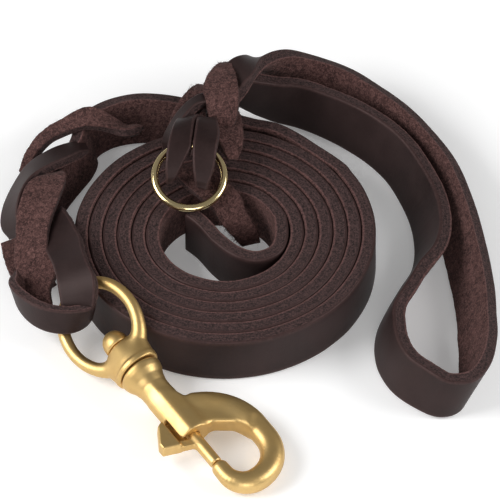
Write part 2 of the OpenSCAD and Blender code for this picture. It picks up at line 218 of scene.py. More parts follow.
def settle(
    obj: bpy.types.Object, body: str, nodes: tuple[str, ...]
) -> bpy.types.Object:
    """Ties a finished piece to its CAD body and the nodes it stands for.

    Args:
        obj: the piece.
        body: CAD body that it rides on.
        nodes: CAD nodes that it replaces; none for a piece that CAD doesn't have.

    Returns:
        The piece.
    """
    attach(obj, body)
    if nodes:
        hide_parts(*nodes)
    log.info("made %s: %d faces, body %s", obj.name, len(obj.data.polygons), body)
    return obj


# --------------------------------------------------------------------------- finishes


class Graph:
    """One material's node graph, with short calls to add and join nodes."""

    def __init__(self, name: str) -> None:
        """Starts an empty graph with an output node."""
        self.material = bpy.data.materials.new(name)
        self.material.use_nodes = True
        self.tree = self.material.node_tree
        self.tree.nodes.clear()
        self.output = self.tree.nodes.new("ShaderNodeOutputMaterial")

    def add(self, kind: str, **inputs: object) -> bpy.types.Node:
        """Adds a node and sets its inputs.

        Args:
            kind: the node's type name without "ShaderNode".
            **inputs: settings in lower case, or input sockets by their name with _ for a
                space and a capital first letter; a socket as value is linked.

        Returns:
            The new node.
        """
        node = self.tree.nodes.new("ShaderNode" + kind)
        for key, value in inputs.items():
            if key[0].islower():
                setattr(node, key, value)
                continue
            socket = node.inputs[int(key[1:])] if key[1:].isdigit() else node.inputs[
                key.replace("_", " ")
            ]
            if isinstance(value, bpy.types.NodeSocket):
                self.tree.links.new(value, socket)
            else:
                socket.default_value = value
        return node

    def noise(
        self, place: bpy.types.NodeSocket, scale: float, detail: float, twist: float = 0.0
    ) -> bpy.types.NodeSocket:
        """Fractal noise of that many cells a metre."""
        return self.add(
            "TexNoise", Vector=place, Scale=scale, Detail=detail, Roughness=0.6, Distortion=twist
        ).outputs["Fac"]

    def spread(
        self, value: bpy.types.NodeSocket, low: float, high: float, to_low: float, to_high: float
    ) -> bpy.types.NodeSocket:
        """Stretches a range of values to another range, held at both ends."""
        return self.add(
            "MapRange", Value=value, From_Min=low, From_Max=high, To_Min=to_low, To_Max=to_high
        ).outputs["Result"]

    def blend(
        self,
        share: bpy.types.NodeSocket | float,
        first: object,
        second: object,
        how: str = "MIX",
    ) -> bpy.types.NodeSocket:
        """Mixes two colours by a share.

        Args:
            share: how much of the second colour shows.
            first: colour as three numbers, or a socket.
            second: colour as three numbers, or a socket.
            how: the Mix node's way of mixing.

        Returns:
            The mixed colour's socket.
        """
        node = self.add("Mix", data_type="RGBA", blend_type=how)
        for index, value in ((0, share), (6, first), (7, second)):
            if isinstance(value, bpy.types.NodeSocket):
                self.tree.links.new(value, node.inputs[index])
            elif isinstance(value, tuple):
                node.inputs[index].default_value = (*value, 1.0)
            else:
                node.inputs[index].default_value = value
        return node.outputs[2]

    def sum(
        self, first: bpy.types.NodeSocket, second: object, how: str = "ADD"
    ) -> bpy.types.NodeSocket:
        """Sum, product or other result of two numbers, by a Math node."""
        return self.add("Math", operation=how, I0=first, I1=second).outputs[0]

    def bump(
        self,
        height: bpy.types.NodeSocket,
        strength: float,
        depth: float,
        under: bpy.types.NodeSocket | None = None,
    ) -> bpy.types.NodeSocket:
        """Bump of a height pattern, over another bump where one is given.

        Args:
            height: the pattern.
            strength: share of the bump that shows.
            depth: height of the pattern in metres.
            under: the normal that it lies on.

        Returns:
            The new normal's socket.
        """
        node = self.add("Bump", Height=height, Strength=strength, Distance=depth)
        if under is not None:
            self.tree.links.new(under, node.inputs["Normal"])
        return node.outputs["Normal"]

    def finish(self, **sockets: object) -> bpy.types.Material:
        """Adds the Principled shader with those sockets and returns the material."""
        shader = self.add("BsdfPrincipled", **sockets)
        self.tree.links.new(shader.outputs[0], self.output.inputs[0])
        return self.material


@dataclass(frozen=True)
class GrainFinish:
    """Smooth, waxed grain side of the leather: near black brown with a soft sheen."""

    name: str = "leather_grain"
    dark: tuple[float, float, float] = (0.012, 0.0066, 0.0063)
    light: tuple[float, float, float] = (0.030, 0.0175, 0.0168)
    rubbed: tuple[float, float, float] = (0.050, 0.027, 0.0255)
    pores_per_metre: float = 1500.0
    roughness: tuple[float, float] = (0.42, 0.56)

    def build(self) -> bpy.types.Material:
        """Clouded tone, fine pores, faint creases across the strap and rubbed corners."""
        g = Graph(self.name)
        place = g.add("TexCoord").outputs["Object"]
        uv = g.add("TexCoord").outputs["UV"]
        cloud = g.noise(place, 45.0, 4.0)
        tone = g.blend(g.spread(cloud, 0.3, 0.7, 0.0, 1.0), self.dark, self.light)
        fleck = g.noise(place, 900.0, 3.0)
        tone = g.blend(g.spread(fleck, 0.35, 0.75, 0.0, 0.35), tone, self.light)
        rim = g.add("Attribute", attribute_name="rim").outputs["Fac"]
        worn = g.sum(g.spread(rim, 0.55, 1.0, 0.0, 1.0), g.spread(fleck, 0.3, 0.7, 0.3, 1.0),
                     "MULTIPLY")
        tone = g.blend(worn, tone, self.rubbed)
        pores = g.add(
            "TexVoronoi", Vector=place, Scale=self.pores_per_metre, feature="SMOOTH_F1"
        ).outputs["Distance"]
        creased = g.add("Mapping", Vector=uv, Scale=(260.0, 40.0, 1.0)).outputs[0]
        crease = g.noise(creased, 1.0, 3.0)
        normal = g.bump(pores, 0.16, 0.0001)
        normal = g.bump(fleck, 0.15, 0.0001, normal)
        normal = g.bump(crease, 0.22, 0.0003, normal)
        shine = g.spread(cloud, 0.3, 0.7, *self.roughness)
        return g.finish(
            Base_Color=tone,
            Roughness=shine,
            Normal=normal,
            Specular_IOR_Level=0.2,
            Specular_Tint=(1.0, 0.82, 0.79, 1.0),
        )


@dataclass(frozen=True)
class FleshFinish:
    """Rough flesh side: reddish brown with tangled fibres."""

    name: str = "leather_flesh"
    dark: tuple[float, float, float] = (0.022, 0.0100, 0.0092)
    light: tuple[float, float, float] = (0.104, 0.050, 0.045)
    fibre: tuple[float, float, float] = (0.19, 0.098, 0.088)
    sheen: float = 0.06

    def build(self) -> bpy.types.Material:
        """Mottled tone, twisted fibre pattern and deep bump."""
        g = Graph(self.name)
        place = g.add("TexCoord").outputs["Object"]
        cloud = g.noise(place, 160.0, 4.0)
        mottle = g.noise(place, 900.0, 5.0, 1.2)
        tangle = g.add(
            "TexVoronoi", Vector=place, Scale=1150.0, feature="DISTANCE_TO_EDGE"
        ).outputs["Distance"]
        both = g.sum(g.spread(mottle, 0.38, 0.62, 0.0, 0.75),
                     g.spread(cloud, 0.35, 0.65, 0.0, 0.3))
        tone = g.blend(both, self.dark, self.light)
        lines = g.sum(g.spread(tangle, 0.0, 0.14, 1.0, 0.0),
                      g.spread(mottle, 0.45, 0.65, 0.0, 0.75), "MULTIPLY")
        tone = g.blend(lines, tone, self.fibre)
        normal = g.bump(mottle, 0.75, 0.0005)
        normal = g.bump(g.noise(place, 2600.0, 3.0), 0.5, 0.0002, normal)
        return g.finish(
            Base_Color=tone,
            Roughness=0.92,
            Normal=normal,
            Specular_IOR_Level=0.18,
            Sheen_Weight=self.sheen,
            Sheen_Roughness=0.55,
            Sheen_Tint=(0.85, 0.62, 0.58, 1.0),
        )


@dataclass(frozen=True)
class CutFinish:
    """Cut edge of the leather: dark, open fibre with a paler line along each corner."""

    name: str = "leather_cut_edge"
    dark: tuple[float, float, float] = (0.009, 0.0048, 0.0047)
    light: tuple[float, float, float] = (0.078, 0.042, 0.040)
    corner: tuple[float, float, float] = (0.150, 0.072, 0.066)

    def build(self) -> bpy.types.Material:
        """Fibre streaks that run along the strap, and the corner line."""
        g = Graph(self.name)
        place = g.add("TexCoord").outputs["Object"]
        uv = g.add("TexCoord").outputs["UV"]
        along = g.add("Mapping", Vector=uv, Scale=(420.0, 1500.0, 1.0)).outputs[0]
        streak = g.noise(along, 1.0, 4.0)
        grit = g.noise(place, 1500.0, 4.0)
        both = g.sum(g.spread(streak, 0.40, 0.62, 0.0, 0.4), g.spread(grit, 0.41, 0.60, 0.0, 0.6))
        tone = g.blend(both, self.dark, self.light)
        rim = g.add("Attribute", attribute_name="rim").outputs["Fac"]
        line = g.sum(g.spread(rim, 0.5, 0.95, 0.0, 1.0), g.spread(grit, 0.3, 0.62, 0.15, 0.95),
                     "MULTIPLY")
        tone = g.blend(line, tone, self.corner)
        normal = g.bump(grit, 0.95, 0.0005)
        normal = g.bump(streak, 0.4, 0.0002, normal)
        return g.finish(
            Base_Color=tone,
            Roughness=0.84,
            Normal=normal,
            Specular_IOR_Level=0.25,
            Sheen_Weight=0.04,
            Sheen_Roughness=0.5,
            Sheen_Tint=(0.85, 0.66, 0.62, 1.0),
        )


@dataclass(frozen=True)
class BrassFinish:
    """Solid brass, satin as cast and tumbled, or polished."""

    name: str
    light: tuple[float, float, float]
    deep: tuple[float, float, float]
    roughness: tuple[float, float]
    grit: float

    def build(self) -> bpy.types.Material:
        """Slight tarnish clouds, fine tumbling marks and a soft grit."""
        g = Graph(self.name)
        place = g.add("TexCoord").outputs["Object"]
        cloud = g.noise(place, 90.0, 4.0)
        grit = g.noise(place, 4200.0, 3.0)
        tone = g.blend(g.spread(cloud, 0.3, 0.7, 0.0, 1.0), self.light, self.deep)
        stretched = g.add("Mapping", Vector=place, Rotation=(0.4, 0.2, 0.9),
                          Scale=(300.0, 2600.0, 2600.0)).outputs[0]
        marks = g.noise(stretched, 1.0, 2.0)
        normal = g.bump(grit, self.grit, 0.00006)
        normal = g.bump(marks, self.grit * 0.7, 0.00005, normal)
        return g.finish(
            Base_Color=tone,
            Metallic=1.0,
            Roughness=g.spread(g.sum(cloud, g.spread(marks, 0.3, 0.7, -0.1, 0.1)),
                               0.3, 0.7, *self.roughness),
            Normal=normal,
        )


@dataclass(frozen=True)
class SteelFinish:
    """Drawn spring wire."""

    name: str = "spring_wire"

    def build(self) -> bpy.types.Material:
        """Grey metal with fine drawing marks."""
        g = Graph(self.name)
        place = g.add("TexCoord").outputs["Object"]
        grit = g.noise(place, 3000.0, 3.0)
        tone = g.blend(grit, (0.42, 0.42, 0.44), (0.62, 0.62, 0.63))
        return g.finish(Base_Color=tone, Metallic=1.0, Roughness=g.spread(grit, 0.3, 0.7, 0.3, 0.5),
                        Normal=g.bump(grit, 0.2, 0.00005))


@dataclass(frozen=True)
class FloorFinish:
    """Pale studio floor."""

    name: str = "floor"

    def build(self) -> bpy.types.Material:
        """White with the faintest cloud."""
        g = Graph(self.name)
        place = g.add("TexCoord").outputs["Object"]
        tone = g.blend(g.noise(place, 4.0, 2.0), (0.92, 0.92, 0.92), (0.95, 0.95, 0.95))
        return g.finish(
            Base_Color=tone, Roughness=0.7, Specular_IOR_Level=0.1,
            Emission_Color=(1.0, 1.0, 1.0, 1.0), Emission_Strength=0.18,
        )


class Kit:
    """All the finishes, built once and shared by the pieces."""

    def __init__(self) -> None:
        """Builds the materials."""
        self.grain = GrainFinish().build()
        self.flesh = FleshFinish().build()
        self.cut = CutFinish().build()
        self.fibre = FleshFinish(name="leather_fibre", dark=(0.04, 0.02, 0.018),
                                 light=(0.12, 0.06, 0.054), sheen=0.05).build()
        self.satin = BrassFinish("satin_brass", (0.70, 0.49, 0.21), (0.60, 0.40, 0.155),
                                 (0.40, 0.50), 0.35).build()
        self.bright = BrassFinish("bright_brass", (0.90, 0.74, 0.42), (0.84, 0.66, 0.34),
                                  (0.12, 0.2), 0.12).build()
        self.steel = SteelFinish().build()


# --------------------------------------------------------------------------- leather


class Side(Enum):
    """Which side of a route carries the smooth grain."""

    RIGHT = 1
    LEFT = -1


class Zone(IntEnum):
    """Part of the cut strap that a face belongs to, in the order of its finishes."""

    GRAIN = 0
    FLESH = 1
    CUT = 2


@dataclass(frozen=True)
class Section:
    """Outline of a cut strap: two faces, two cut edges and four eased corners, in mm."""

    thick: float = STRAP_THICK
    grain_ease: float = 0.75
    flesh_ease: float = 0.35
    face_steps: int = 12
    edge_steps: int = 6
    corner_steps: int = 3

    def outline(self) -> dict[str, np.ndarray]:
        """Points round the section, from the grain face over the upper cut edge.

        Each point lies at share * half width + shift across the strap, and at depth out of its
        middle; nx and nd are its normal. Zone is the part of the strap for the span that
        follows the point; rim is 1 at a corner and falls to 0 away from it.

        Returns:
            share, shift, depth, nx, nd, zone and rim, one number of each for each point.
        """
        half = self.thick / 2
        rows: list[tuple[float, float, float, float, float, int]] = []

        def corner(sign: float, up: float, radius: float, start: float, zone: Zone) -> None:
            """Adds an arc whose normal turns 90 degrees from start.

            Args:
                sign: 1 at the upper edge, -1 at the lower.
                up: 1 on the grain face, -1 on the flesh face.
                radius: the arc's radius in mm.
                start: angle of the first normal in degrees.
                zone: part of the strap that the arc belongs to.
            """
            for i in range(self.corner_steps):
                turn = start - 90.0 * (i + 0.5) / self.corner_steps
                x, d = math.cos(math.radians(turn)), math.sin(math.radians(turn))
                rows.append((sign, radius * x - sign * radius, up * (half - radius) + radius * d,
                             x, d, zone))

        grain, flesh = self.grain_ease, self.flesh_ease
        for s in np.linspace(-1, 1, self.face_steps):
            rows.append((s, -s * grain, half, 0.0, 1.0, Zone.GRAIN))
        corner(1.0, 1.0, grain, 90.0, Zone.GRAIN)
        for d in np.linspace(half - grain, flesh - half, self.edge_steps):
            rows.append((1.0, 0.0, d, 1.0, 0.0, Zone.CUT))
        corner(1.0, -1.0, flesh, 0.0, Zone.FLESH)
        for s in np.linspace(1, -1, self.face_steps):
            rows.append((s, -s * flesh, -half, 0.0, -1.0, Zone.FLESH))
        corner(-1.0, -1.0, flesh, -90.0, Zone.FLESH)
        for d in np.linspace(flesh - half, half - grain, self.edge_steps):
            rows.append((-1.0, 0.0, d, -1.0, 0.0, Zone.CUT))
        corner(-1.0, 1.0, grain, 180.0, Zone.GRAIN)
        share, shift, depth, nx, nd, zone = np.array(rows).T
        on_edge = np.abs(nx) > 0.99
        rim = np.where(
            on_edge,
            (np.abs(depth) / (half - flesh)) ** 2,
            np.where(np.abs(nd) > 0.99, np.abs(share) ** 14, 1.0),
        )
        return {"share": share, "shift": shift, "depth": depth, "nx": nx, "nd": nd,
                "zone": zone.astype(int), "rim": np.clip(rim, 0.0, 1.0)}


@dataclass(frozen=True)
class Wear:
    """How uneven a strap is, in mm."""

    sway: float = 0.25
    edge_lift: float = 0.3
    grain: float = 0.06
    flesh: float = 0.16
    cut: float = 0.12


@dataclass
class Ribbon:
    """One length of leather carried along a route.

    The surface is a grid: station i along the route by point j round the section. A station's
    across line runs from its lower to its upper edge, its out line is travel x across, and the
    vertex is middle + across * (share * half width + shift) + out * depth, then pushed along
    its normal by value noise.
    """

    name: str
    rows: Rows
    nodes: tuple[str, ...]
    section: Section = field(default_factory=Section)
    wear: Wear = field(default_factory=Wear)
    side: Side = Side.RIGHT
    spacing: float = 0.8
    seed: int = 1
    taper: tuple[float, float] = (0.0, 0.0)
    slot: str = "leather"
    points: np.ndarray = field(init=False, repr=False, default=None)
    normals: np.ndarray = field(init=False, repr=False, default=None)
    zones: np.ndarray = field(init=False, repr=False, default=None)

    def stations(self) -> np.ndarray:
        """The two edges of the strap at even steps, in mm from the middle of the roll."""
        return even_steps(catmull_rom(np.array(self.rows, float), 16), self.spacing)

    def surface(self) -> tuple[np.ndarray, dict[str, np.ndarray], np.ndarray]:
        """Works out the grid of points.

        Returns:
            The points (stations, section points, 3) in mm, the section's arrays, and the
            distance of each station along the route.
        """
        line = self.stations()
        low, top = line[:, 0], line[:, 1]
        middle = (low + top) / 2
        run = np.concatenate([[0], np.cumsum(np.linalg.norm(np.diff(middle, axis=0), axis=1))])
        travel = unit(np.gradient(middle, axis=0))
        across = unit(top - low)
        out = unit(np.cross(travel, across)) * self.side.value
        if self.side is Side.LEFT:
            across, low, top = -across, top, low
        half = np.linalg.norm(top - low, axis=1) / 2
        s = self.section.outline()
        thin = np.ones(len(run))
        for reach, gone in ((self.taper[0], run), (self.taper[1], run[-1] - run)):
            if reach > 0:
                thin *= 0.45 + 0.55 * ease(0.0, reach, gone)
        lift = self.wear.edge_lift * lattice_noise(middle, 11.0, self.seed)
        sway = self.wear.sway * lattice_noise(middle, 17.0, self.seed + 5)
        base = middle + across * lift[:, None] * 0.5 + out * sway[:, None]
        wide = half + lift * 0.4
        x = s["share"][None] * wide[:, None] + s["shift"][None]
        d = s["depth"][None] * thin[:, None]
        grid = base[:, None] + across[:, None] * x[..., None] + out[:, None] * d[..., None]
        normal = across[:, None] * s["nx"][None, :, None] + out[:, None] * s["nd"][None, :, None]
        share = np.array([self.wear.grain, self.wear.flesh, self.wear.cut])[s["zone"]]
        rough = (0.45 * lattice_noise(grid, 3.2, self.seed + 1)
                 + 0.35 * lattice_noise(grid, 1.1, self.seed + 2)
                 + 0.35 * lattice_noise(grid, 0.6, self.seed + 3))
        soft = lattice_noise(grid, 6.0, self.seed + 4)
        push = share[None] * np.where(s["zone"][None] == Zone.GRAIN, soft, rough)
        grid = grid + normal * push[..., None]
        grid[..., 2] = np.maximum(grid[..., 2], LOWEST_LEATHER)
        self.points, self.normals, self.zones = grid, normal, s["zone"]
        return grid, s, run

    def make(self, kit: Kit) -> bpy.types.Object:
        """Builds the piece, closes both ends with a fan and gives it its finishes.

        Args:
            kit: the finishes.

        Returns:
            The finished piece.
        """
        grid, s, run = self.surface()
        n, m = grid.shape[:2]
        number = np.arange(n * m).reshape(n, m)
        right = np.roll(number, -1, axis=1)
        quads = np.stack([number[:-1], number[1:], right[1:], right[:-1]], -1)
        if self.side is Side.LEFT:
            quads = quads[..., ::-1]
        zones = np.broadcast_to(s["zone"], (n - 1, m)).ravel()
        tips = np.stack([grid[0].mean(0), grid[-1].mean(0)])
        first, last = n * m, n * m + 1
        start = np.stack([np.full(m, first), number[0], right[0]], -1)
        end = np.stack([np.full(m, last), right[-1], number[-1]], -1)
        if self.side is Side.LEFT:
            start, end = start[:, ::-1], end[:, ::-1]
        points = np.concatenate([grid.reshape(-1, 3), tips])
        round_it = np.concatenate([[0], np.cumsum(
            np.hypot(np.diff(s["share"]) * 9.0 + np.diff(s["shift"]), np.diff(s["depth"])))])
        uv = np.stack(np.meshgrid(run, round_it, indexing="ij"), -1).reshape(-1, 2)
        uv = np.concatenate([uv, [[0.0, 0.0], [run[-1], 0.0]]]) * MM
        rim = np.concatenate([np.broadcast_to(s["rim"], (n, m)).ravel(), [0.0, 0.0]])
        obj = make_object(
            self.name,
            to_frame(points),
            [quads.reshape(-1, 4), np.concatenate([start, end])],
            np.concatenate([zones, np.full(2 * m, int(Zone.CUT))]),
            {"rim": rim},
            uv,
        )
        dress(obj, kit.grain, kit.flesh, kit.cut)
        return settle(obj, "leash", self.nodes)


@dataclass
class Fuzz:
    """Loose fibres standing out of the rough leather.

    A fibre is a tapering three-sided tube along root + lean * length * t + curl * t^2, with
    its first ring sunk in the leather and both ends closed.
    """

    name: str
    seed: int = 7
    rings: int = 4
    thick: float = 0.055
    roots: list[np.ndarray] = field(default_factory=list)
    leans: list[np.ndarray] = field(default_factory=list)
    lengths: list[np.ndarray] = field(default_factory=list)

    def grow(
        self, ribbon: Ribbon, count: int, length: tuple[float, float],
        zones: tuple[Zone, ...], lift: float,
    ) -> None:
        """Plants fibres on a ribbon.

        Args:
            ribbon: a ribbon whose surface has been worked out.
            count: how many fibres.
            length: shortest and longest fibre in mm.
            zones: sides of the leather that carry them.
            lift: how far they stand up, 0 lying flat and 1 upright.
        """
        rng = np.random.default_rng(self.seed + 31 * len(self.roots))
        n, m = ribbon.points.shape[:2]
        allowed = np.flatnonzero(np.isin(ribbon.zones, zones))
        i = rng.integers(0, max(1, n - 2), count)
        j = rng.choice(allowed, count)
        t, u = rng.random((2, count, 1))
        k = (j + 1) % m
        a, b = ribbon.points[i, j], ribbon.points[i + 1, j]
        c, d = ribbon.points[i, k], ribbon.points[i + 1, k]
        root = (a * (1 - t) + b * t) * (1 - u) + (c * (1 - t) + d * t) * u
        normal = unit(ribbon.normals[i, j])
        lean = unit(rng.normal(size=(count, 3)))
        lean = unit(lean - normal * np.sum(lean * normal, 1, keepdims=True))
        self.roots.append(root - normal * 0.08)
        self.leans.append(unit(lean * (1 - lift) + normal * lift))
        self.lengths.append(rng.uniform(*length, count))

    def make(self, kit: Kit) -> bpy.types.Object:
        """Builds all the planted fibres as one piece.

        Args:
            kit: the finishes.

        Returns:
            The finished piece.
        """
        rng = np.random.default_rng(self.seed)
        root = np.concatenate(self.roots)
        lean = np.concatenate(self.leans)
        size = np.concatenate(self.lengths)[:, None, None]
        count = len(root)
        t = np.linspace(0, 1, self.rings)[None, :, None]
        curl = unit(rng.normal(size=(count, 3)))[:, None]
        path = root[:, None] + lean[:, None] * size * t + curl * size * 0.45 * t * t
        side = unit(np.cross(lean, curl[:, 0] + 0.01))[:, None]
        other = unit(np.cross(lean, side[:, 0]))[:, None]
        turn = np.arange(3) * 2 * math.pi / 3
        reach = self.thick * (1 - 0.8 * t)
        ring = (side[:, :, None] * np.cos(turn)[None, None, :, None]
                + other[:, :, None] * np.sin(turn)[None, None, :, None])
        points = path[:, :, None] + ring * reach[..., None]
        points[..., 2] = np.maximum(points[..., 2], LOWEST_FIBRE)
        number = np.arange(count * self.rings * 3).reshape(count, self.rings, 3)
        nxt = np.roll(number, -1, axis=2)
        quads = np.stack([number[:, :-1], nxt[:, :-1], nxt[:, 1:], number[:, 1:]], -1)
        ends = np.concatenate([number[:, 0, ::-1], number[:, -1]])
        obj = make_object(self.name, to_frame(points.reshape(-1, 3)),
                          [quads.reshape(-1, 4), ends])
        dress(obj, kit.fibre)
        return settle(obj, "leash", ())


@dataclass
class RollStrap(Ribbon):
    """The strap itself: its cut inner end, the roll and the length that leaves the roll.

    The roll is the spiral radius = outer radius - half thickness - pitch * turns.
    """

    centre: tuple[float, float] = (-2.0, 0.7)
    outer: float = 54.5
    pitch: float = 5.0
    turns: float = 6.1
    leave: float = 50.0
    height: float = 19.0
    inner: Rows = field(default_factory=list)

    def stations(self) -> np.ndarray:
        """Inner end, spiral and lead-out joined into one smooth line.

        Returns:
            The two edges of the strap at even steps, in mm from the middle of the roll.
        """
        # Degrees wound in from where the strap leaves, short of the rows that join both ends.
        turned = np.arange(self.turns * 360 - 4.0, 3.0, -7.5)
        angle = np.radians(self.leave - turned)
        radius = self.outer - STRAP_THICK / 2 - self.pitch * turned / 360
        x = self.centre[0] + radius * np.cos(angle)
        y = self.centre[1] + radius * np.sin(angle)
        wave = lattice_noise(np.stack([turned, turned * 0, turned * 0], -1), 70.0, 3)
        top = self.height - 0.25 + 0.30 * wave
        spiral = np.stack([np.stack([x, y, np.full_like(x, 0.12)], -1),
                           np.stack([x, y, top], -1)], 1)
        inner = np.array(self.inner, float)[::-1][:-1]
        lead = np.array(self.rows, float)[1:]
        line = np.concatenate([inner, spiral, lead])
        return even_steps(catmull_rom(line, 10), self.spacing)


@dataclass
class Leather:
    """All the leather of the leash, by its routes in mm from the middle of the roll."""

    kit: Kit
    strand: Section = field(default_factory=lambda: Section(
        thick=STRAND_THICK, grain_ease=0.7, flesh_ease=0.4, face_steps=18))
    strap: Section = field(default_factory=lambda: Section(face_steps=16))
    rough: Wear = field(default_factory=lambda: Wear(
        sway=0.25, edge_lift=0.45, grain=0.10, flesh=0.26, cut=0.18))

    inner_end: Rows = field(default_factory=lambda: [
        ((19.2, 5.2, 0.2), (19.2, 5.2, 18.6)), ((18.9, -1, 0.2), (18.9, -1, 18.6)),
        ((16.6, -7.2, 0.2), (16.6, -7.2, 18.6)), ((10.5, -10.2, 0.2), (10.5, -10.2, 18.6)),
        ((3.4, -8, 0.2), (3.4, -8, 18.6)), ((-3, -1.7, 0.2), (-3, -1.7, 18.6)),
        ((-7, 4.2, 0.2), (-7, 4.2, 18.6)), ((-9.5, 7.5, 0.2), (-9.5, 7.5, 18.6)),
        ((-13, 11, 0.2), (-13, 11, 18.6))])
    lead_out: Rows = field(default_factory=lambda: [
        ((30.6, 42, 0.2), (30.6, 42, 18.9)), ((20, 49.3, 0.2), (20, 49.3, 18.9)),
        ((8, 53.6, 0.2), (8, 53.6, 18.9)), ((-5, 58.6, 0.2), (-5, 58.6, 18.9)),
        ((-16.5, 61.5, 0.6), (-16.5, 64, 18.9)), ((-30.5, 62, 0.8), (-30.5, 66, 18.8)),
        ((-41, 59.5, 0.8), (-41.5, 63, 18.7)), ((-47.5, 54, 0.8), (-50.5, 56, 18.3)),
        ((-47.5, 48.5, 1.2), (-53, 49, 16)), ((-49.5, 42.5, 1.3), (-56, 43, 14)),
        ((-53, 36.5, 1.4), (-59, 37, 13.5)), ((-57.5, 29, 1.3), (-62.5, 30, 13.5)),
        ((-61, 21.5, 1.1), (-65, 22.5, 13.5)), ((-63.5, 14, 0.8), (-66, 14.5, 12)),
        ((-65, 5, 0.6), (-66.5, 5, 10)), ((-65, -3, 0.5), (-66, -3, 8))])
    snap_tail: Rows = field(default_factory=lambda: [
        ((-29.5, 52.5, 17.5), (-30.5, 56, 14.5)), ((-35, 50, 17.5), (-35.5, 55, 14)),
        ((-41, 50.5, 18), (-40.5, 56.5, 17.5)), ((-46, 50.5, 19), (-45, 58, 20)),
        ((-50.5, 50.5, 19), (-50, 58.5, 20.5)), ((-57, 49, 17.5), (-58, 55, 18)),
        ((-62.5, 47.5, 15), (-65, 52, 14.5)), ((-67, 44, 11), (-70, 47.5, 10.5)),
        ((-69.5, 38, 8.5), (-73, 40, 8))])
    snap_upper: Rows = field(default_factory=lambda: [
        ((-48.5, 41.5, 16.5), (-50, 49, 13)), ((-55, 35.5, 18.5), (-56, 46, 14.5)),
        ((-62, 30.5, 19.5), (-62.5, 42, 15)), ((-68, 25.5, 19), (-69.5, 37, 13)),
        ((-71.5, 19, 17), (-75.5, 28.5, 8.5)), ((-72.5, 12, 13.5), (-78.5, 18, 6)),
        ((-69.5, 7, 11), (-76, 12, 3))])
    snap_flesh: Rows = field(default_factory=lambda: [
        ((-65, 26, 20.5), (-57.5, 31, 17.5)), ((-70, 20, 21), (-56.5, 24, 20)),
        ((-72.5, 11, 19.5), (-59, 14, 20.5)), ((-73.5, 2, 16.5), (-62, 3, 19.5)),
        ((-73.5, -6, 13), (-62, -7, 18)), ((-72, -14, 11), (-59.5, -15, 15)),
        ((-70, -20, 9.5), (-61.5, -20.5, 12)),
        ((-68.5, -27, 8), (-60.5, -27.5, 11))])
    snap_lower: Rows = field(default_factory=lambda: [
        ((-79, 6, 7), (-71, 8, 9)), ((-77.5, -2, 6.5), (-68, 0, 9)),
        ((-75.5, -9, 6.5), (-64.5, -7, 9.5)), ((-71.5, -15, 7.5), (-61.5, -13.5, 11)),
        ((-66, -20.5, 9), (-59.5, -17.5, 12))])
    snap_wide: Rows = field(default_factory=lambda: [
        ((-61.5, 12, 14), (-57.5, 13, 18.5)), ((-63.5, 4, 14.5), (-54, 4, 21)),
        ((-63.5, -4, 16), (-51, -6, 23.5)), ((-62, -12, 19.5), (-50, -15, 26.5)),
        ((-60, -20, 22.5), (-48, -23, 28.5)), ((-58.5, -27.5, 22.5), (-45.5, -30, 28)),
        ((-57.5, -33, 19.5), (-45.5, -35, 23.5)), ((-57, -35.3, 16.5), (-46.5, -37, 19.5))])
    eye_fold: Rows = field(default_factory=lambda: [
        ((-46.5, -33, 15.5), (-45.5, -32.5, 22)), ((-50, -37, 11.5), (-48.5, -37, 21.5)),
        ((-56, -39.2, 10.7), (-56, -38, 21.3)), ((-62.8, -37, 10.3), (-64, -35.5, 20.8)),
        ((-69, -31.2, 10.2), (-70.5, -30, 20.3)), ((-72, -24, 11), (-74.5, -23, 19)),
        ((-70.5, -17, 11.5), (-73.5, -15.5, 16.5))])
    inner_leg: Rows = field(default_factory=lambda: [
        ((3.5, 69.5, 12.5), (2.5, 67.5, 29)), ((10, 70, 7), (10, 69, 25.5)),
        ((17, 70, 3), (17, 70.8, 22)), ((26, 68.2, 1.3), (27, 71.5, 20)),
        ((37, 61.8, 1.3), (39.5, 65.7, 19.7)), ((48.5, 52.3, 1.3), (52.5, 56.8, 19.4)),
        ((57, 41.8, 1.3), (63, 45.8, 19)), ((62.5, 30, 1.3), (70, 33.3, 18.5)),
        ((66, 18, 1.4), (75, 20, 18)), ((67, 7, 1.4), (76.5, 7, 17.9))])
    bend: Rows = field(default_factory=lambda: [
        ((66, -3, 1.4), (74.5, -4.5, 18.2)), ((62, -12, 1.3), (69, -14.5, 18.8)),
        ((57.5, -22, 1.2), (64.5, -24.5, 19)), ((54, -32, 1.2), (60.5, -33, 19)),
        ((53, -41, 1.2), (60, -41, 19)), ((54.5, -50, 1.1), (61, -49.5, 19.1)),
        ((59, -58.5, 1), (64.5, -57.5, 19.2)), ((66, -65, 0.9), (71, -64, 19.3)),
        ((73, -68.5, 0.9), (77.5, -68.5, 19.4)), ((79, -66, 1), (85, -67, 19.1)),
        ((82, -57.5, 1.3), (90, -58.5, 18.5)), ((82.3, -46.8, 1.4), (92, -47, 17.8))])
    outer_leg: Rows = field(default_factory=lambda: [
        ((82, -36, 1.4), (92, -36, 17.5)), ((81.3, -22, 1.4), (91.3, -21, 17.5)),
        ((78.2, -2, 1.4), (88.2, -0.5, 17.5)), ((74.8, 16, 1.4), (84.4, 18.7, 17.5)),
        ((70.3, 31, 1.4), (79.3, 35.2, 17.7)), ((65.2, 42, 1.4), (73.2, 47, 17.9)),
        ((56.7, 55, 1.4), (62.8, 61, 18.4)), ((46.7, 65, 1.4), (51.8, 72, 18.4)),
        ((37.2, 72.5, 1.8), (41.2, 80, 18.8)), ((28.5, 77, 3), (31, 83, 20.5)),
        ((19, 80, 9), (21, 79.5, 26.5)), ((10, 81, 19), (13, 71.5, 30.5)),
        ((3.5, 74, 28.5), (8, 60.5, 31.5)),
        ((-2.5, 69, 26.5), (2.5, 54, 28.5))])
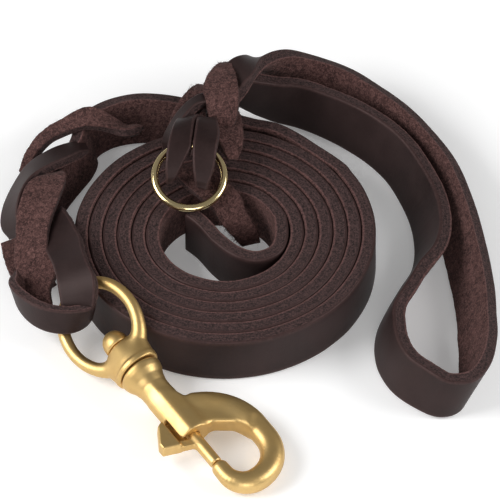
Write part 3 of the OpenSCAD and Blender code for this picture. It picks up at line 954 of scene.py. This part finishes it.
    top_strand: Rows = field(default_factory=lambda: [
        ((-1.5, 75.5, 24), (1.5, 75, 25.5)), ((-4, 69.5, 28.5), (2, 69, 30)),
        ((-7.5, 61.5, 30.5), (3.5, 60.5, 32.5)), ((-8.5, 56.5, 31), (4, 55, 32.5)),
        ((-7.5, 51.5, 31), (4, 50.5, 32)), ((-6.5, 46.5, 29.5), (3.5, 45.5, 30)),
        ((-4, 41.5, 27), (2, 42, 28))])
    lobe: Rows = field(default_factory=lambda: [
        ((-1, 53, 24), (4, 53, 24)), ((-5, 45.5, 27), (5, 46, 26.5)),
        ((-4, 38.5, 28), (5.5, 39, 26.5)), ((-2, 33.5, 27), (5, 34, 25.5)),
        ((0.5, 29.5, 25), (3.5, 30, 24.5))])
    cross: Rows = field(default_factory=lambda: [
        ((-5, 58, 28), (-4.5, 52.5, 29)), ((-10.5, 54.5, 30.5), (-10, 48.5, 32)),
        ((-16, 48, 30), (-14, 42.5, 32.5)), ((-20.5, 42, 26), (-18, 37.5, 29)),
        ((-22.5, 38, 21.5), (-19.5, 35, 23.5))])
    back: Rows = field(default_factory=lambda: [
        ((-9.5, 68, 21.5), (-1.5, 65, 24)), ((-13.5, 62, 25), (-5.5, 57, 27)),
        ((-18, 54, 25), (-10.5, 50.5, 26.5)), ((-20.5, 45, 23.5), (-13, 43, 25)),
        ((-20.5, 38, 22), (-13, 37.5, 23))])
    core: Rows = field(default_factory=lambda: [
        ((4, 66, 21.5), (-6, 68, 21.5)), ((4, 57, 22.5), (-7, 58, 22.5)),
        ((2, 49, 23), (-8, 49, 23)), ((-1, 41.5, 22.5), (-11, 41.5, 22.5)),
        ((-4, 35, 21.7), (-13, 35, 21.7))])
    flap_left: Rows = field(default_factory=lambda: [
        ((-17, 44, 29.5), (-8.5, 45, 31)), ((-18.5, 38.5, 32.5), (-11, 39.5, 34)),
        ((-20, 32, 34), (-12, 32.5, 34.5)), ((-21, 26.5, 33), (-12.5, 27, 33.5)),
        ((-21.5, 21.5, 29), (-15.5, 22.5, 30)), ((-21, 19, 24), (-19, 18.5, 24.5))])
    flap_right: Rows = field(default_factory=lambda: [
        ((-11, 44, 30.5), (-4, 44, 30)), ((-11, 38.5, 34), (-3.5, 38.5, 33)),
        ((-11.5, 33, 34.5), (-3, 33, 34)), ((-12, 27.5, 34), (-3.5, 27, 34)),
        ((-12, 21.5, 30), (-4.5, 21.5, 29.5)), ((-11, 17, 24.5), (-7, 16, 24))])
    tail: Rows = field(default_factory=lambda: [
        ((-19, 29, 21), (-7, 32, 21)), ((-16.5, 23, 21), (-4, 27.5, 21)),
        ((-11.5, 17, 21), (-0.5, 22, 21)), ((-5.5, 12.5, 18.5), (4, 17.5, 19.5)),
        ((-2.5, 9.5, 14.5), (6.5, 13, 16)), ((1.5, 8, 9.5), (10, 10.5, 11)),
        ((5, 7, 5), (11.5, 8, 6))])

    def build(self) -> None:
        """Makes the strap, the handle, both braids and their loose fibres."""
        roll = RollStrap(
            "roll_strap", self.lead_out,
            ("strap_coil", "strap_inner_end", "strap_lead_out"),
            section=Section(thick=STRAP_THICK + 0.15, face_steps=7, edge_steps=7),
            wear=Wear(sway=0.0, edge_lift=0.25, flesh=0.08, cut=0.16),
            spacing=0.85, seed=11, inner=self.inner_end)
        roll.make(self.kit)
        handle = Ribbon(
            "handle_strap", self.inner_leg + self.bend + self.outer_leg,
            ("handle_inner_leg", "handle_bend", "handle_outer_leg"),
            section=self.strap, wear=Wear(flesh=0.18, cut=0.14), spacing=0.7, seed=23)
        handle.make(self.kit)
        made = {"roll": roll, "handle": handle}
        plan: list[tuple[str, Rows, str, Side, tuple[float, float], str]] = [
            ("snap_braid_tail", self.snap_tail, "snap_tail", Side.RIGHT, (3, 5), "suede"),
            ("snap_braid_upper", self.snap_upper, "snap_strand_upper", Side.LEFT, (4, 4),
             "leather"),
            ("snap_braid_flesh", self.snap_flesh, "snap_strand_flesh", Side.LEFT, (4, 4),
             "suede"),
            ("snap_braid_lower", self.snap_lower, "snap_strand_lower", Side.LEFT, (3, 4),
             "suede"),
            ("snap_braid_wide", self.snap_wide, "snap_strand_wide", Side.RIGHT, (4, 3),
             "leather"),
            ("eye_fold_strap", self.eye_fold, "eye_fold", Side.LEFT, (3, 4), "leather"),
            ("handle_braid_top", self.top_strand, "handle_strand_top", Side.LEFT, (3, 4),
             "suede"),
            ("handle_braid_lobe", self.lobe, "handle_strand_lobe", Side.LEFT, (3, 3), "suede"),
            ("handle_braid_cross", self.cross, "handle_strand_cross", Side.RIGHT, (3, 3),
             "leather"),
            ("handle_braid_back", self.back, "handle_strand_back", Side.LEFT, (3, 3), "suede"),
            ("handle_braid_core", self.core, "handle_core", Side.LEFT, (2, 2), "leather"),
            ("ring_flap_l", self.flap_left, "ring_flap_left", Side.RIGHT, (3, 3), "leather"),
            ("ring_flap_r", self.flap_right, "ring_flap_right", Side.RIGHT, (3, 3), "leather"),
            ("handle_braid_tail", self.tail, "handle_tail", Side.LEFT, (3, 3), "suede"),
        ]
        for order, (name, rows, node, side, taper, slot) in enumerate(plan):
            strand = Ribbon(name, rows, (node,), section=self.strand, wear=self.rough,
                            side=side, spacing=0.45, seed=40 + 9 * order, taper=taper, slot=slot)
            strand.make(self.kit)
            made[name] = strand
        self.fuzz(made)

    def fuzz(self, made: dict[str, Ribbon]) -> None:
        """Plants the loose fibres on the rough sides and the cut edges.

        Args:
            made: the ribbons by the name of their piece.
        """
        fibres = Fuzz("loose_fibres")
        rough = (Zone.FLESH, Zone.CUT)
        plan: list[tuple[str, int, tuple[float, float], tuple[Zone, ...], float]] = [
            ("handle_braid_tail", 1500, (0.7, 2.4), rough, 0.4),
            ("handle_braid_top", 900, (0.4, 1.2), rough, 0.3),
            ("handle_braid_lobe", 400, (0.4, 1.2), rough, 0.3),
            ("handle_braid_back", 350, (0.5, 1.8), rough, 0.45),
            ("snap_braid_flesh", 500, (0.3, 0.8), rough, 0.25),
            ("snap_braid_lower", 300, (0.3, 0.9), rough, 0.3),
            ("snap_braid_tail", 400, (0.3, 1.0), rough, 0.3),
            ("roll", 1500, (0.3, 0.8), (Zone.CUT,), 0.3),
            ("handle", 500, (0.3, 0.8), rough, 0.25),
        ]
        for name, count, length, zones, lift in plan:
            fibres.grow(made[name], count, length, zones, lift)
        fibres.make(self.kit)


# --------------------------------------------------------------------------- castings


def smooth_min(a: np.ndarray, b: np.ndarray, reach: float) -> np.ndarray:
    """Smaller of two distances, with a fillet: min - (reach - |a - b|)^2 / (4 reach).

    Args:
        a: first distances in mm.
        b: second distances in mm.
        reach: difference of the two below which the fillet shows, in mm.

    Returns:
        The joined distances.
    """
    h = np.maximum(reach - np.abs(a - b), 0.0)
    return np.minimum(a, b) - h * h / (4.0 * reach)


def smooth_max(a: np.ndarray, b: np.ndarray, reach: float) -> np.ndarray:
    """Larger of two distances, with the corner eased."""
    return -smooth_min(-a, -b, reach)


def path_share(
    x: np.ndarray, y: np.ndarray, path: np.ndarray
) -> tuple[np.ndarray, np.ndarray, np.ndarray]:
    """How far each point lies from a path of changing width, as a share of that width.

    Args:
        x: first coordinate of the points in mm.
        y: second coordinate of the points in mm.
        path: rows x, y, half width, half height.

    Returns:
        The smallest distance / half width over all spans, and the half width and the half
        height at that span's nearest point.
    """
    best = np.full(x.shape, 1e9)
    wide = np.ones(x.shape)
    high = np.ones(x.shape)
    for (x0, y0, w0, h0), (x1, y1, w1, h1) in zip(path[:-1], path[1:]):
        dx, dy = x1 - x0, y1 - y0
        t = np.clip(((x - x0) * dx + (y - y0) * dy) / (dx * dx + dy * dy), 0.0, 1.0)
        w = w0 + (w1 - w0) * t
        share = np.hypot(x - x0 - dx * t, y - y0 - dy * t) / w
        closer = share < best
        best = np.where(closer, share, best)
        wide = np.where(closer, w, wide)
        high = np.where(closer, h0 + (h1 - h0) * t, high)
    return best, wide, high


def bar_distance(
    x: np.ndarray, y: np.ndarray, z: np.ndarray, path: np.ndarray, power: float
) -> np.ndarray:
    """Distance to a bar along a flat path, whose section is a rounded oblong.

    The section is (across / half width)^p + (up / half height)^p = 1.

    Args:
        x: first coordinate of the points in mm.
        y: second coordinate of the points in mm.
        z: height of the points above the path's plane in mm.
        path: rows x, y, half width, half height.
        power: p, 2 for an ellipse and more for a squarer section.

    Returns:
        Rough distance in mm, below 0 inside the bar.
    """
    share, wide, high = path_share(x, y, path)
    size = (share**power + np.abs(z / high) ** power) ** (1.0 / power)
    return (size - 1.0) * np.minimum(wide, high)


def polygon_distance(x: np.ndarray, y: np.ndarray, corners: np.ndarray) -> np.ndarray:
    """Signed distance to a flat polygon.

    Args:
        x: first coordinate of the points in mm.
        y: second coordinate of the points in mm.
        corners: the polygon's corners in order, in mm.

    Returns:
        Distance in mm, below 0 inside the polygon.
    """
    distance = np.full(x.shape, 1e9)
    inside = np.zeros(x.shape, bool)
    for (x0, y0), (x1, y1) in zip(corners, np.roll(corners, -1, axis=0)):
        dx, dy = x1 - x0, y1 - y0
        t = np.clip(((x - x0) * dx + (y - y0) * dy) / (dx * dx + dy * dy), 0.0, 1.0)
        distance = np.minimum(distance, np.hypot(x - x0 - dx * t, y - y0 - dy * t))
        between = (y0 > y) != (y1 > y)
        cross = x0 + (y - y0) * dx / (dy if abs(dy) > 1e-9 else 1e-9)
        inside ^= between & (x < cross)
    return np.where(inside, -distance, distance)


def net(value: np.ndarray, low: np.ndarray, step: float) -> tuple[np.ndarray, np.ndarray]:
    """Skin of the region where value is below 0, on a grid of cells.

    Each cell that the skin crosses gets one vertex, the mean of the skin's crossings of its
    twelve edges, and each grid edge that it crosses gets a quad of its four cells.

    Args:
        value: distance at each grid point.
        low: place of the first grid point in mm.
        step: grid step in mm.

    Returns:
        Vertices in mm and quads that face outwards.
    """
    total = np.zeros(tuple(n - 1 for n in value.shape) + (3,))
    hits = np.zeros(tuple(n - 1 for n in value.shape))
    corners = [(i, j, k) for i in (0, 1) for j in (0, 1) for k in (0, 1)]

    def at(c: tuple[int, int, int]) -> np.ndarray:
        """Values at one corner of every cell."""
        nx, ny, nz = value.shape
        return value[c[0]:nx - 1 + c[0], c[1]:ny - 1 + c[1], c[2]:nz - 1 + c[2]]

    for c in corners:
        for axis in range(3):
            if c[axis]:
                continue
            e = tuple(v + (i == axis) for i, v in enumerate(c))
            a, b = at(c), at(e)
            crossed = (a < 0) != (b < 0)
            t = np.where(crossed, a / np.where(crossed, a - b, 1.0), 0.0)
            hits += crossed
            for i in range(3):
                total[..., i] += np.where(crossed, c[i] + (t if i == axis else 0.0), 0.0)
    active = hits > 0
    number = np.full(active.shape, -1, np.int64)
    number[active] = np.arange(active.sum())
    cell = np.argwhere(active)
    points = low + step * (cell + total[active] / hits[active][:, None])
    quads = []
    for axis in range(3):
        one, two = (axis + 1) % 3, (axis + 2) % 3
        a = np.moveaxis(value, (axis, one, two), (0, 1, 2))
        n = np.moveaxis(number, (axis, one, two), (0, 1, 2))
        inner = a[:, 1:-1, 1:-1] < 0
        crossed = np.argwhere(inner[:-1] != inner[1:])
        i, j, k = crossed.T
        around = np.stack([n[i, j, k], n[i, j + 1, k], n[i, j + 1, k + 1], n[i, j, k + 1]], -1)
        leaves = inner[i, j, k]
        quads.append(np.where(leaves[:, None], around, around[:, ::-1]))
    return points, np.concatenate(quads)


def relax(points: np.ndarray, quads: np.ndarray, rounds: int, share: float) -> np.ndarray:
    """Moves each vertex towards the mean of its neighbours, then a little further back.

    Args:
        points: vertices in mm.
        quads: faces by vertex number.
        rounds: how many times it goes there and back.
        share: share of the way to the mean.

    Returns:
        The moved vertices.
    """
    ends = np.concatenate([quads[:, [0, 1]], quads[:, [1, 2]], quads[:, [2, 3]],
                           quads[:, [3, 0]]])
    count = np.bincount(ends.ravel(), minlength=len(points))[:, None]
    for i in range(2 * rounds):
        total = np.zeros_like(points)
        for axis in range(3):
            total[:, axis] = (
                np.bincount(ends[:, 0], points[ends[:, 1], axis], len(points))
                + np.bincount(ends[:, 1], points[ends[:, 0], axis], len(points)))
        points = points + (total / count - points) * (share if i % 2 == 0 else -share * 1.02)
    return points


def arc(
    centre: tuple[float, float], radius: float, start: float, end: float, steps: int
) -> np.ndarray:
    """Points on a flat arc, by angle in degrees."""
    a = np.radians(np.linspace(start, end, steps))
    return np.stack([centre[0] + radius * np.cos(a), centre[1] + radius * np.sin(a)], 1)


@dataclass(frozen=True)
class SnapSeat:
    """Where the snap lies: its collar rim and its axes, in mm from the middle of the roll."""

    rim: tuple[float, float, float] = (-30.6, -58.8, 11.9)
    heading: float = -54.6
    dip: float = 7.0
    eye_lean: float = 43.0

    def axes(self, lean: float = 0.0) -> np.ndarray:
        """Rows: down the swivel axis, across, and up, after a turn about the swivel axis.

        The matrix is turn about z by heading, times turn about y by dip, times turn about x.

        Args:
            lean: turn about the swivel axis in degrees.

        Returns:
            A 3 by 3 matrix whose rows are the three axes.
        """
        h, d, e = (math.radians(v) for v in (self.heading, self.dip, lean))
        about_z = np.array([[math.cos(h), -math.sin(h), 0], [math.sin(h), math.cos(h), 0],
                            [0, 0, 1]])
        about_y = np.array([[math.cos(d), 0, math.sin(d)], [0, 1, 0],
                            [-math.sin(d), 0, math.cos(d)]])
        about_x = np.array([[1, 0, 0], [0, math.cos(e), -math.sin(e)],
                            [0, math.sin(e), math.cos(e)]])
        return (about_z @ about_y @ about_x).T

    def place(self, points: np.ndarray, lean: float = 0.0) -> np.ndarray:
        """Moves points from the snap's own axes, in mm, to the shared frame in metres."""
        return to_frame(np.array(self.rim) + points @ self.axes(lean))


@dataclass
class Snap:
    """Swivel bolt snap: eye, rivet, hook, bolt and thumb lever, in mm on the snap's axes."""

    kit: Kit
    seat: SnapSeat = field(default_factory=SnapSeat)
    step: float = 0.34
    collar_r: float = 7.8
    eye_centre: float = -23.0
    eye_long: float = 17.0
    eye_wide: float = 14.0
    lever_l: float = 12.5
    lever_h: float = 6.5
    lever_nose: float = 2.5
    lever_crest: float = 2.5
    lever_lean: float = 2.0
    lever_root: float = 3.0
    lever_heel: float = 35.5
    lever_top: float = 6.6
    collar_l: float = 11.5
    stem_r: float = 3.0
    gap: float = 0.7
    barrel_l: float = 33.0
    barrel_r: float = 5.6
    bolt_r: float = 2.3
    slot_half: float = 1.8
    clearance: float = 0.06

    def grid(
        self, low: tuple[float, float, float], high: tuple[float, float, float]
    ) -> tuple[np.ndarray, np.ndarray, np.ndarray, np.ndarray]:
        """Grid points of a box: its first corner and the three coordinates of each point."""
        axes = [np.arange(a, b + self.step, self.step) for a, b in zip(low, high)]
        x, y, z = np.meshgrid(*axes, indexing="ij")
        return np.array(low), x, y, z

    def cast(
        self, name: str, value: np.ndarray, low: np.ndarray, lean: float, body: str,
        nodes: tuple[str, ...],
    ) -> bpy.types.Object:
        """Turns a distance field into a finished brass piece.

        Args:
            name: name of the piece.
            value: distance at each grid point in mm.
            low: the grid's first corner in mm.
            lean: turn about the swivel axis in degrees.
            body: CAD body that it rides on.
            nodes: CAD nodes that it replaces.

        Returns:
            The finished piece.
        """
        points, quads = net(value, low, self.step)
        points = relax(points, quads, 3, 0.5)
        obj = make_object(name, self.seat.place(points, lean), [quads])
        dress(obj, self.kit.satin)
        return settle(obj, body, nodes)

    def eye(self) -> bpy.types.Object:
        """Oval eye whose wire thickens and flares into a bell-shaped collar.

        The wire follows (centre + long * cos t, wide * sin t) down to the collar, and the
        collar is a radius by the distance from its rim.
        """
        low, x, y, z = self.grid((-43.5, -17.5, -8.5), (1.4, 17.5, 8.5))
        turn = np.radians(np.linspace(180, 30, 24))
        oval = np.column_stack([
            self.eye_centre + self.eye_long * np.cos(turn), self.eye_wide * np.sin(turn)])
        one = np.concatenate([oval, np.array([[-4.5, 5.2], [-2.8, 4.6]])])
        thick = np.interp(one[:, 0], [-40, -20, -13, -8, -5], [2.2, 2.2, 2.4, 3.0, 3.3])
        path = np.column_stack([one, thick, thick])
        wire = bar_distance(x, np.abs(y), z, path, 2.0)
        rho = np.hypot(y, z)
        lip = self.collar_r
        flare = np.interp(-x, [-1, 0.0, 0.5, 1.8, 2.6, 4.5, 7, 9.5, self.collar_l],
                          [lip - 0.4, lip - 0.15, lip, lip, lip - 0.6, 6.7, 5.9, 5.1, 4.4])
        collar = np.maximum((rho - flare) * 0.96, np.maximum(x, -x - self.collar_l))
        body = smooth_min(wire, collar, 4.5)
        body = np.maximum(body, x)
        bore = self.stem_r + self.clearance - rho
        body = np.maximum(body, bore - FAR * (np.abs(y) > 4.5))
        return self.cast("eye_casting", body, low, self.seat.eye_lean, "eye", ("swivel_eye",))

    def rivet(self) -> bpy.types.Object:
        """Swivel stem with its domed head, turned about the swivel axis.

        A point is (along, radius * cos, radius * sin) on a profile of radius by length.
        """
        along = np.array([3.6, 3.6, 0.0, -6.0, -11.8, -11.8, -12.0, -13.0, -14.6, -16.2, -17.5,
                          -18.3, -18.7, -18.8])
        radius = np.array([0.001, *[self.stem_r] * 4, 4.3, 4.65, 4.75, 4.6, 4.05, 3.1, 2.0,
                           1.0, 0.001])
        turn = np.radians(np.arange(0, 360, 5.0))
        grid = np.stack(np.broadcast_arrays(
            along[:, None], radius[:, None] * np.cos(turn), radius[:, None] * np.sin(turn)), -1)
        n, m = grid.shape[:2]
        number = np.arange(n * m).reshape(n, m)
        right = np.roll(number, -1, axis=1)
        quads = np.stack([number[:-1], number[1:], right[1:], right[:-1]], -1).reshape(-1, 4)
        caps = [np.arange(m)[None, ::-1], (n - 1) * m + np.arange(m)[None]]
        obj = make_object("swivel_rivet", self.seat.place(grid.reshape(-1, 3)),
                          [quads, *caps])
        dress(obj, self.kit.satin)
        return settle(obj, "snap", ("swivel_stem",))

    def hook(self) -> bpy.types.Object:
        """Neck, faceted barrel, web and hook in one casting with filleted joins.

        The barrel is a radius by length, cut by two flats; the hook is a bar along three
        arcs; the web is a flat polygon between them; and the bolt's bore and the lever's
        slot are cut out of all three.
        """
        low, x, y, z = self.grid((-0.2, -8.2, -8.2), (65.5, 26.5, 8.2))
        rho = np.hypot(y, z)
        flare = np.interp(
            x,
            [0, self.gap, 1.2, 2.0, 3.6, 6.0, 9.0, 12.0, 14, 31.6, self.barrel_l],
            [7.0, 7.4, 7.75, self.collar_r, 7.4, 6.2, 5.45, 5.4, self.barrel_r, self.barrel_r,
             5.3])
        barrel = (rho - flare) * 0.95
        facet = -0.70 * y + 0.714 * z - 5.0
        top = 0.10 * y + 0.995 * z - 5.1
        faceted = smooth_max(smooth_max(barrel, facet, 1.0), top, 0.8)
        share = ease(8.0, 13.0, x)
        barrel = barrel * (1 - share) + faceted * share
        barrel = smooth_max(barrel, x - self.barrel_l, 0.4)
        path = np.concatenate([
            arc((40.0, 1.0), 20.0, 158, 92, 12),
            arc((46.5, 7.5), 13.5, 90, 0, 14),
            arc((52.5, 7.5), 7.5, -6, -90, 10),
            np.array([[49.6, 0.0]])])
        run = np.linspace(0, 1, len(path))
        wide = np.interp(run, [0, 0.3, 0.5, 0.7, 0.85, 1.0], [3.4, 4.2, 4.3, 4.1, 3.7, 3.0])
        high = np.interp(run, [0, 0.3, 0.5, 0.7, 0.85, 1.0], [3.4, 4.0, 4.0, 3.9, 3.6, 3.0])
        bar = bar_distance(x, y, z, np.column_stack([path, wide, high]), 2.3)
        bar = np.maximum(bar, 47.7 - x - FAR * (y > 4.2))
        flat = polygon_distance(x, y, np.array([
            [15, 0.5], [32.0, 0.5], [34.5, 8.5], [38, 14.0], [42, 17.5], [38, 20.5], [30, 18.0],
            [22.5, 11.5]]))
        web = smooth_max(flat + 0.8, np.abs(z) - 3.4, 1.6)
        body = smooth_min(barrel, bar, 1.2)
        body = smooth_min(body, web, 3.6)
        body = np.maximum(body, self.gap - x)
        bore = np.maximum(rho - (self.bolt_r + self.clearance), np.maximum(9.0 - x, x - 40.0))
        lip = np.maximum(np.abs(z) - self.slot_half, np.maximum(y, 23.4 - x))
        body = np.maximum(body, -np.maximum(np.minimum(bore, lip), x - 44.0))
        return self.cast("hook_casting", body, low, 0.0, "snap", ("snap_hook",))

    def bolt(self) -> bpy.types.Object:
        """Sliding bolt with the wedge-shaped lever cast on its neck."""
        low, x, y, z = self.grid((21.0, -14.5, -3.6), (48.2, 3.2, 3.6))
        rho = np.hypot(y, z)
        rod = np.maximum(rho - self.bolt_r, np.maximum(22.0 - x, x - 47.2))
        rod = smooth_max(rod, rho + (x - 47.2) - self.bolt_r + 0.5, 0.2)
        heel, top, lean = self.lever_heel, -self.lever_top, self.lever_lean
        nose = heel - self.lever_l
        neck = polygon_distance(x, y, np.array([
            [heel - self.lever_root, top - 1], [heel, top - 1],
            [heel + lean, -self.bolt_r / 2], [heel + lean - self.lever_root, -self.bolt_r / 2]]))
        neck = np.maximum(neck, np.abs(z) - 1.5)
        wedge = polygon_distance(x, y, np.array([
            [nose, top], [nose + self.lever_nose / 2, top - self.lever_nose],
            [heel - lean - self.lever_crest, top - self.lever_h],
            [heel - lean, top - self.lever_h], [heel, top]]))
        wedge = smooth_max(wedge, np.abs(z) - 2.6, 0.8)
        body = smooth_min(smooth_min(rod, neck, 0.9), wedge, 0.8)
        return self.cast("bolt_casting", body, low, 0.0, "bolt", ("snap_bolt", "thumb_lever"))

    def build(self) -> None:
        """Makes the five brass pieces and dresses the hidden spring."""
        self.eye()
        self.rivet()
        self.hook()
        self.bolt()
        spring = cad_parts["bolt_spring"]
        spring.data.materials.clear()
        spring.data.materials.append(self.kit.steel)


@dataclass
class Ring:
    """Polished O-ring: a circle of wire, leaning under the two flaps."""

    kit: Kit
    outside: float = 27.0
    wire: float = 2.7
    seat: tuple[float, float, float] = (-13.2, 21.0, 25.5)
    lean: float = 18.0
    around: int = 160
    round_wire: int = 28

    def build(self) -> bpy.types.Object:
        """Torus: (R + r cos b) cos a, (R + r cos b) sin a, r sin b, then leant about x."""
        a = np.linspace(0, 2 * math.pi, self.around, endpoint=False)[:, None]
        b = np.linspace(0, 2 * math.pi, self.round_wire, endpoint=False)[None]
        big, small = (self.outside - self.wire) / 2, self.wire / 2
        reach = big + small * np.cos(b)
        x, y = reach * np.cos(a), reach * np.sin(a)
        z = small * np.sin(b) + 0 * a
        c, s = math.cos(math.radians(self.lean)), math.sin(math.radians(self.lean))
        points = np.stack([x, y * c - z * s, y * s + z * c], -1) + np.array(self.seat)
        number = np.arange(self.around * self.round_wire).reshape(self.around, -1)
        ahead = np.roll(number, -1, axis=0)
        quads = np.stack([number, ahead, np.roll(ahead, -1, 1), np.roll(number, -1, 1)], -1)
        obj = make_object("brass_ring", to_frame(points.reshape(-1, 3)),
                          [quads.reshape(-1, 4)])
        dress(obj, self.kit.bright)
        return settle(obj, "ring", ("o_ring",))


# --------------------------------------------------------------------------- studio


@dataclass
class Studio:
    """Pale floor, soft lights and the camera."""

    aim: tuple[float, float, float] = (0.00096, 0.02126, 0.0)
    half_view: float = 0.08747
    lens: float = 1200.0
    sensor: float = 36.0
    elevation: float = 47.0
    floor_half: float = 4.0

    def camera(self) -> None:
        """Long lens looking down at the aim, so that near and far sizes agree."""
        data = bpy.data.cameras.new("camera")
        data.lens, data.sensor_width = self.lens, self.sensor
        obj = bpy.data.objects.new("camera", data)
        bpy.context.scene.collection.objects.link(obj)
        rise = math.radians(self.elevation)
        back = Vector((0.0, -math.cos(rise), math.sin(rise)))
        distance = self.half_view / (self.sensor / 2 / self.lens)
        obj.location = Vector(self.aim) + back * distance
        obj.rotation_mode = "QUATERNION"
        obj.rotation_quaternion = (-back).to_track_quat("-Z", "Y")
        data.clip_start, data.clip_end = 0.1, 60.0
        bpy.context.scene.camera = obj

    def floor(self) -> None:
        """A grid of wide quads at z = 0."""
        side = np.linspace(-self.floor_half, self.floor_half, 9)
        x, y = np.meshgrid(side, side, indexing="ij")
        points = np.stack([x, y, 0 * x - 0.00002], -1).reshape(-1, 3)
        number = np.arange(81).reshape(9, 9)
        quads = np.stack([number[:-1, :-1], number[1:, :-1], number[1:, 1:], number[:-1, 1:]], -1)
        obj = make_object("studio_floor", points, [quads.reshape(-1, 4)])
        dress(obj, FloorFinish().build())

    def lamp(
        self, name: str, place: tuple[float, float, float], size: float, power: float
    ) -> None:
        """A square soft light that faces the object.

        Args:
            name: name of the light.
            place: where it hangs in metres.
            size: its side in metres.
            power: its power in watts.
        """
        data = bpy.data.lights.new(name, "AREA")
        data.shape, data.size, data.energy = "SQUARE", size, power
        obj = bpy.data.objects.new(name, data)
        bpy.context.scene.collection.objects.link(obj)
        obj.location = place
        toward = Vector(self.aim) - Vector(place)
        obj.rotation_mode = "QUATERNION"
        obj.rotation_quaternion = toward.to_track_quat("-Z", "Y")
        obj.visible_camera = False

    def build(self) -> None:
        """Sets the camera, the floor, the lights, the surroundings and the colour view."""
        self.camera()
        self.floor()
        self.lamp("key_left", (-0.75, -0.15, 0.55), 0.6, 8.0)
        self.lamp("fill_right", (0.8, -0.1, 0.5), 0.5, 5.0)
        self.lamp("front_low", (0.1, -0.9, 0.35), 0.5, 3.0)
        world = bpy.data.worlds.new("surroundings")
        world.use_nodes = True
        background = world.node_tree.nodes["Background"]
        background.inputs["Color"].default_value = (1.0, 1.0, 1.0, 1.0)
        background.inputs["Strength"].default_value = 0.22
        scene = bpy.context.scene
        scene.world = world
        scene.view_settings.view_transform = "Standard"
        scene.view_settings.look = "None"


def main() -> None:
    """Builds the studio and every piece in order."""
    logging.basicConfig(level=logging.INFO, format="%(message)s")
    Studio().build()
    kit = Kit()
    Leather(kit).build()
    Snap(kit).build()
    Ring(kit).build()


if __name__ == "__main__":
    main()
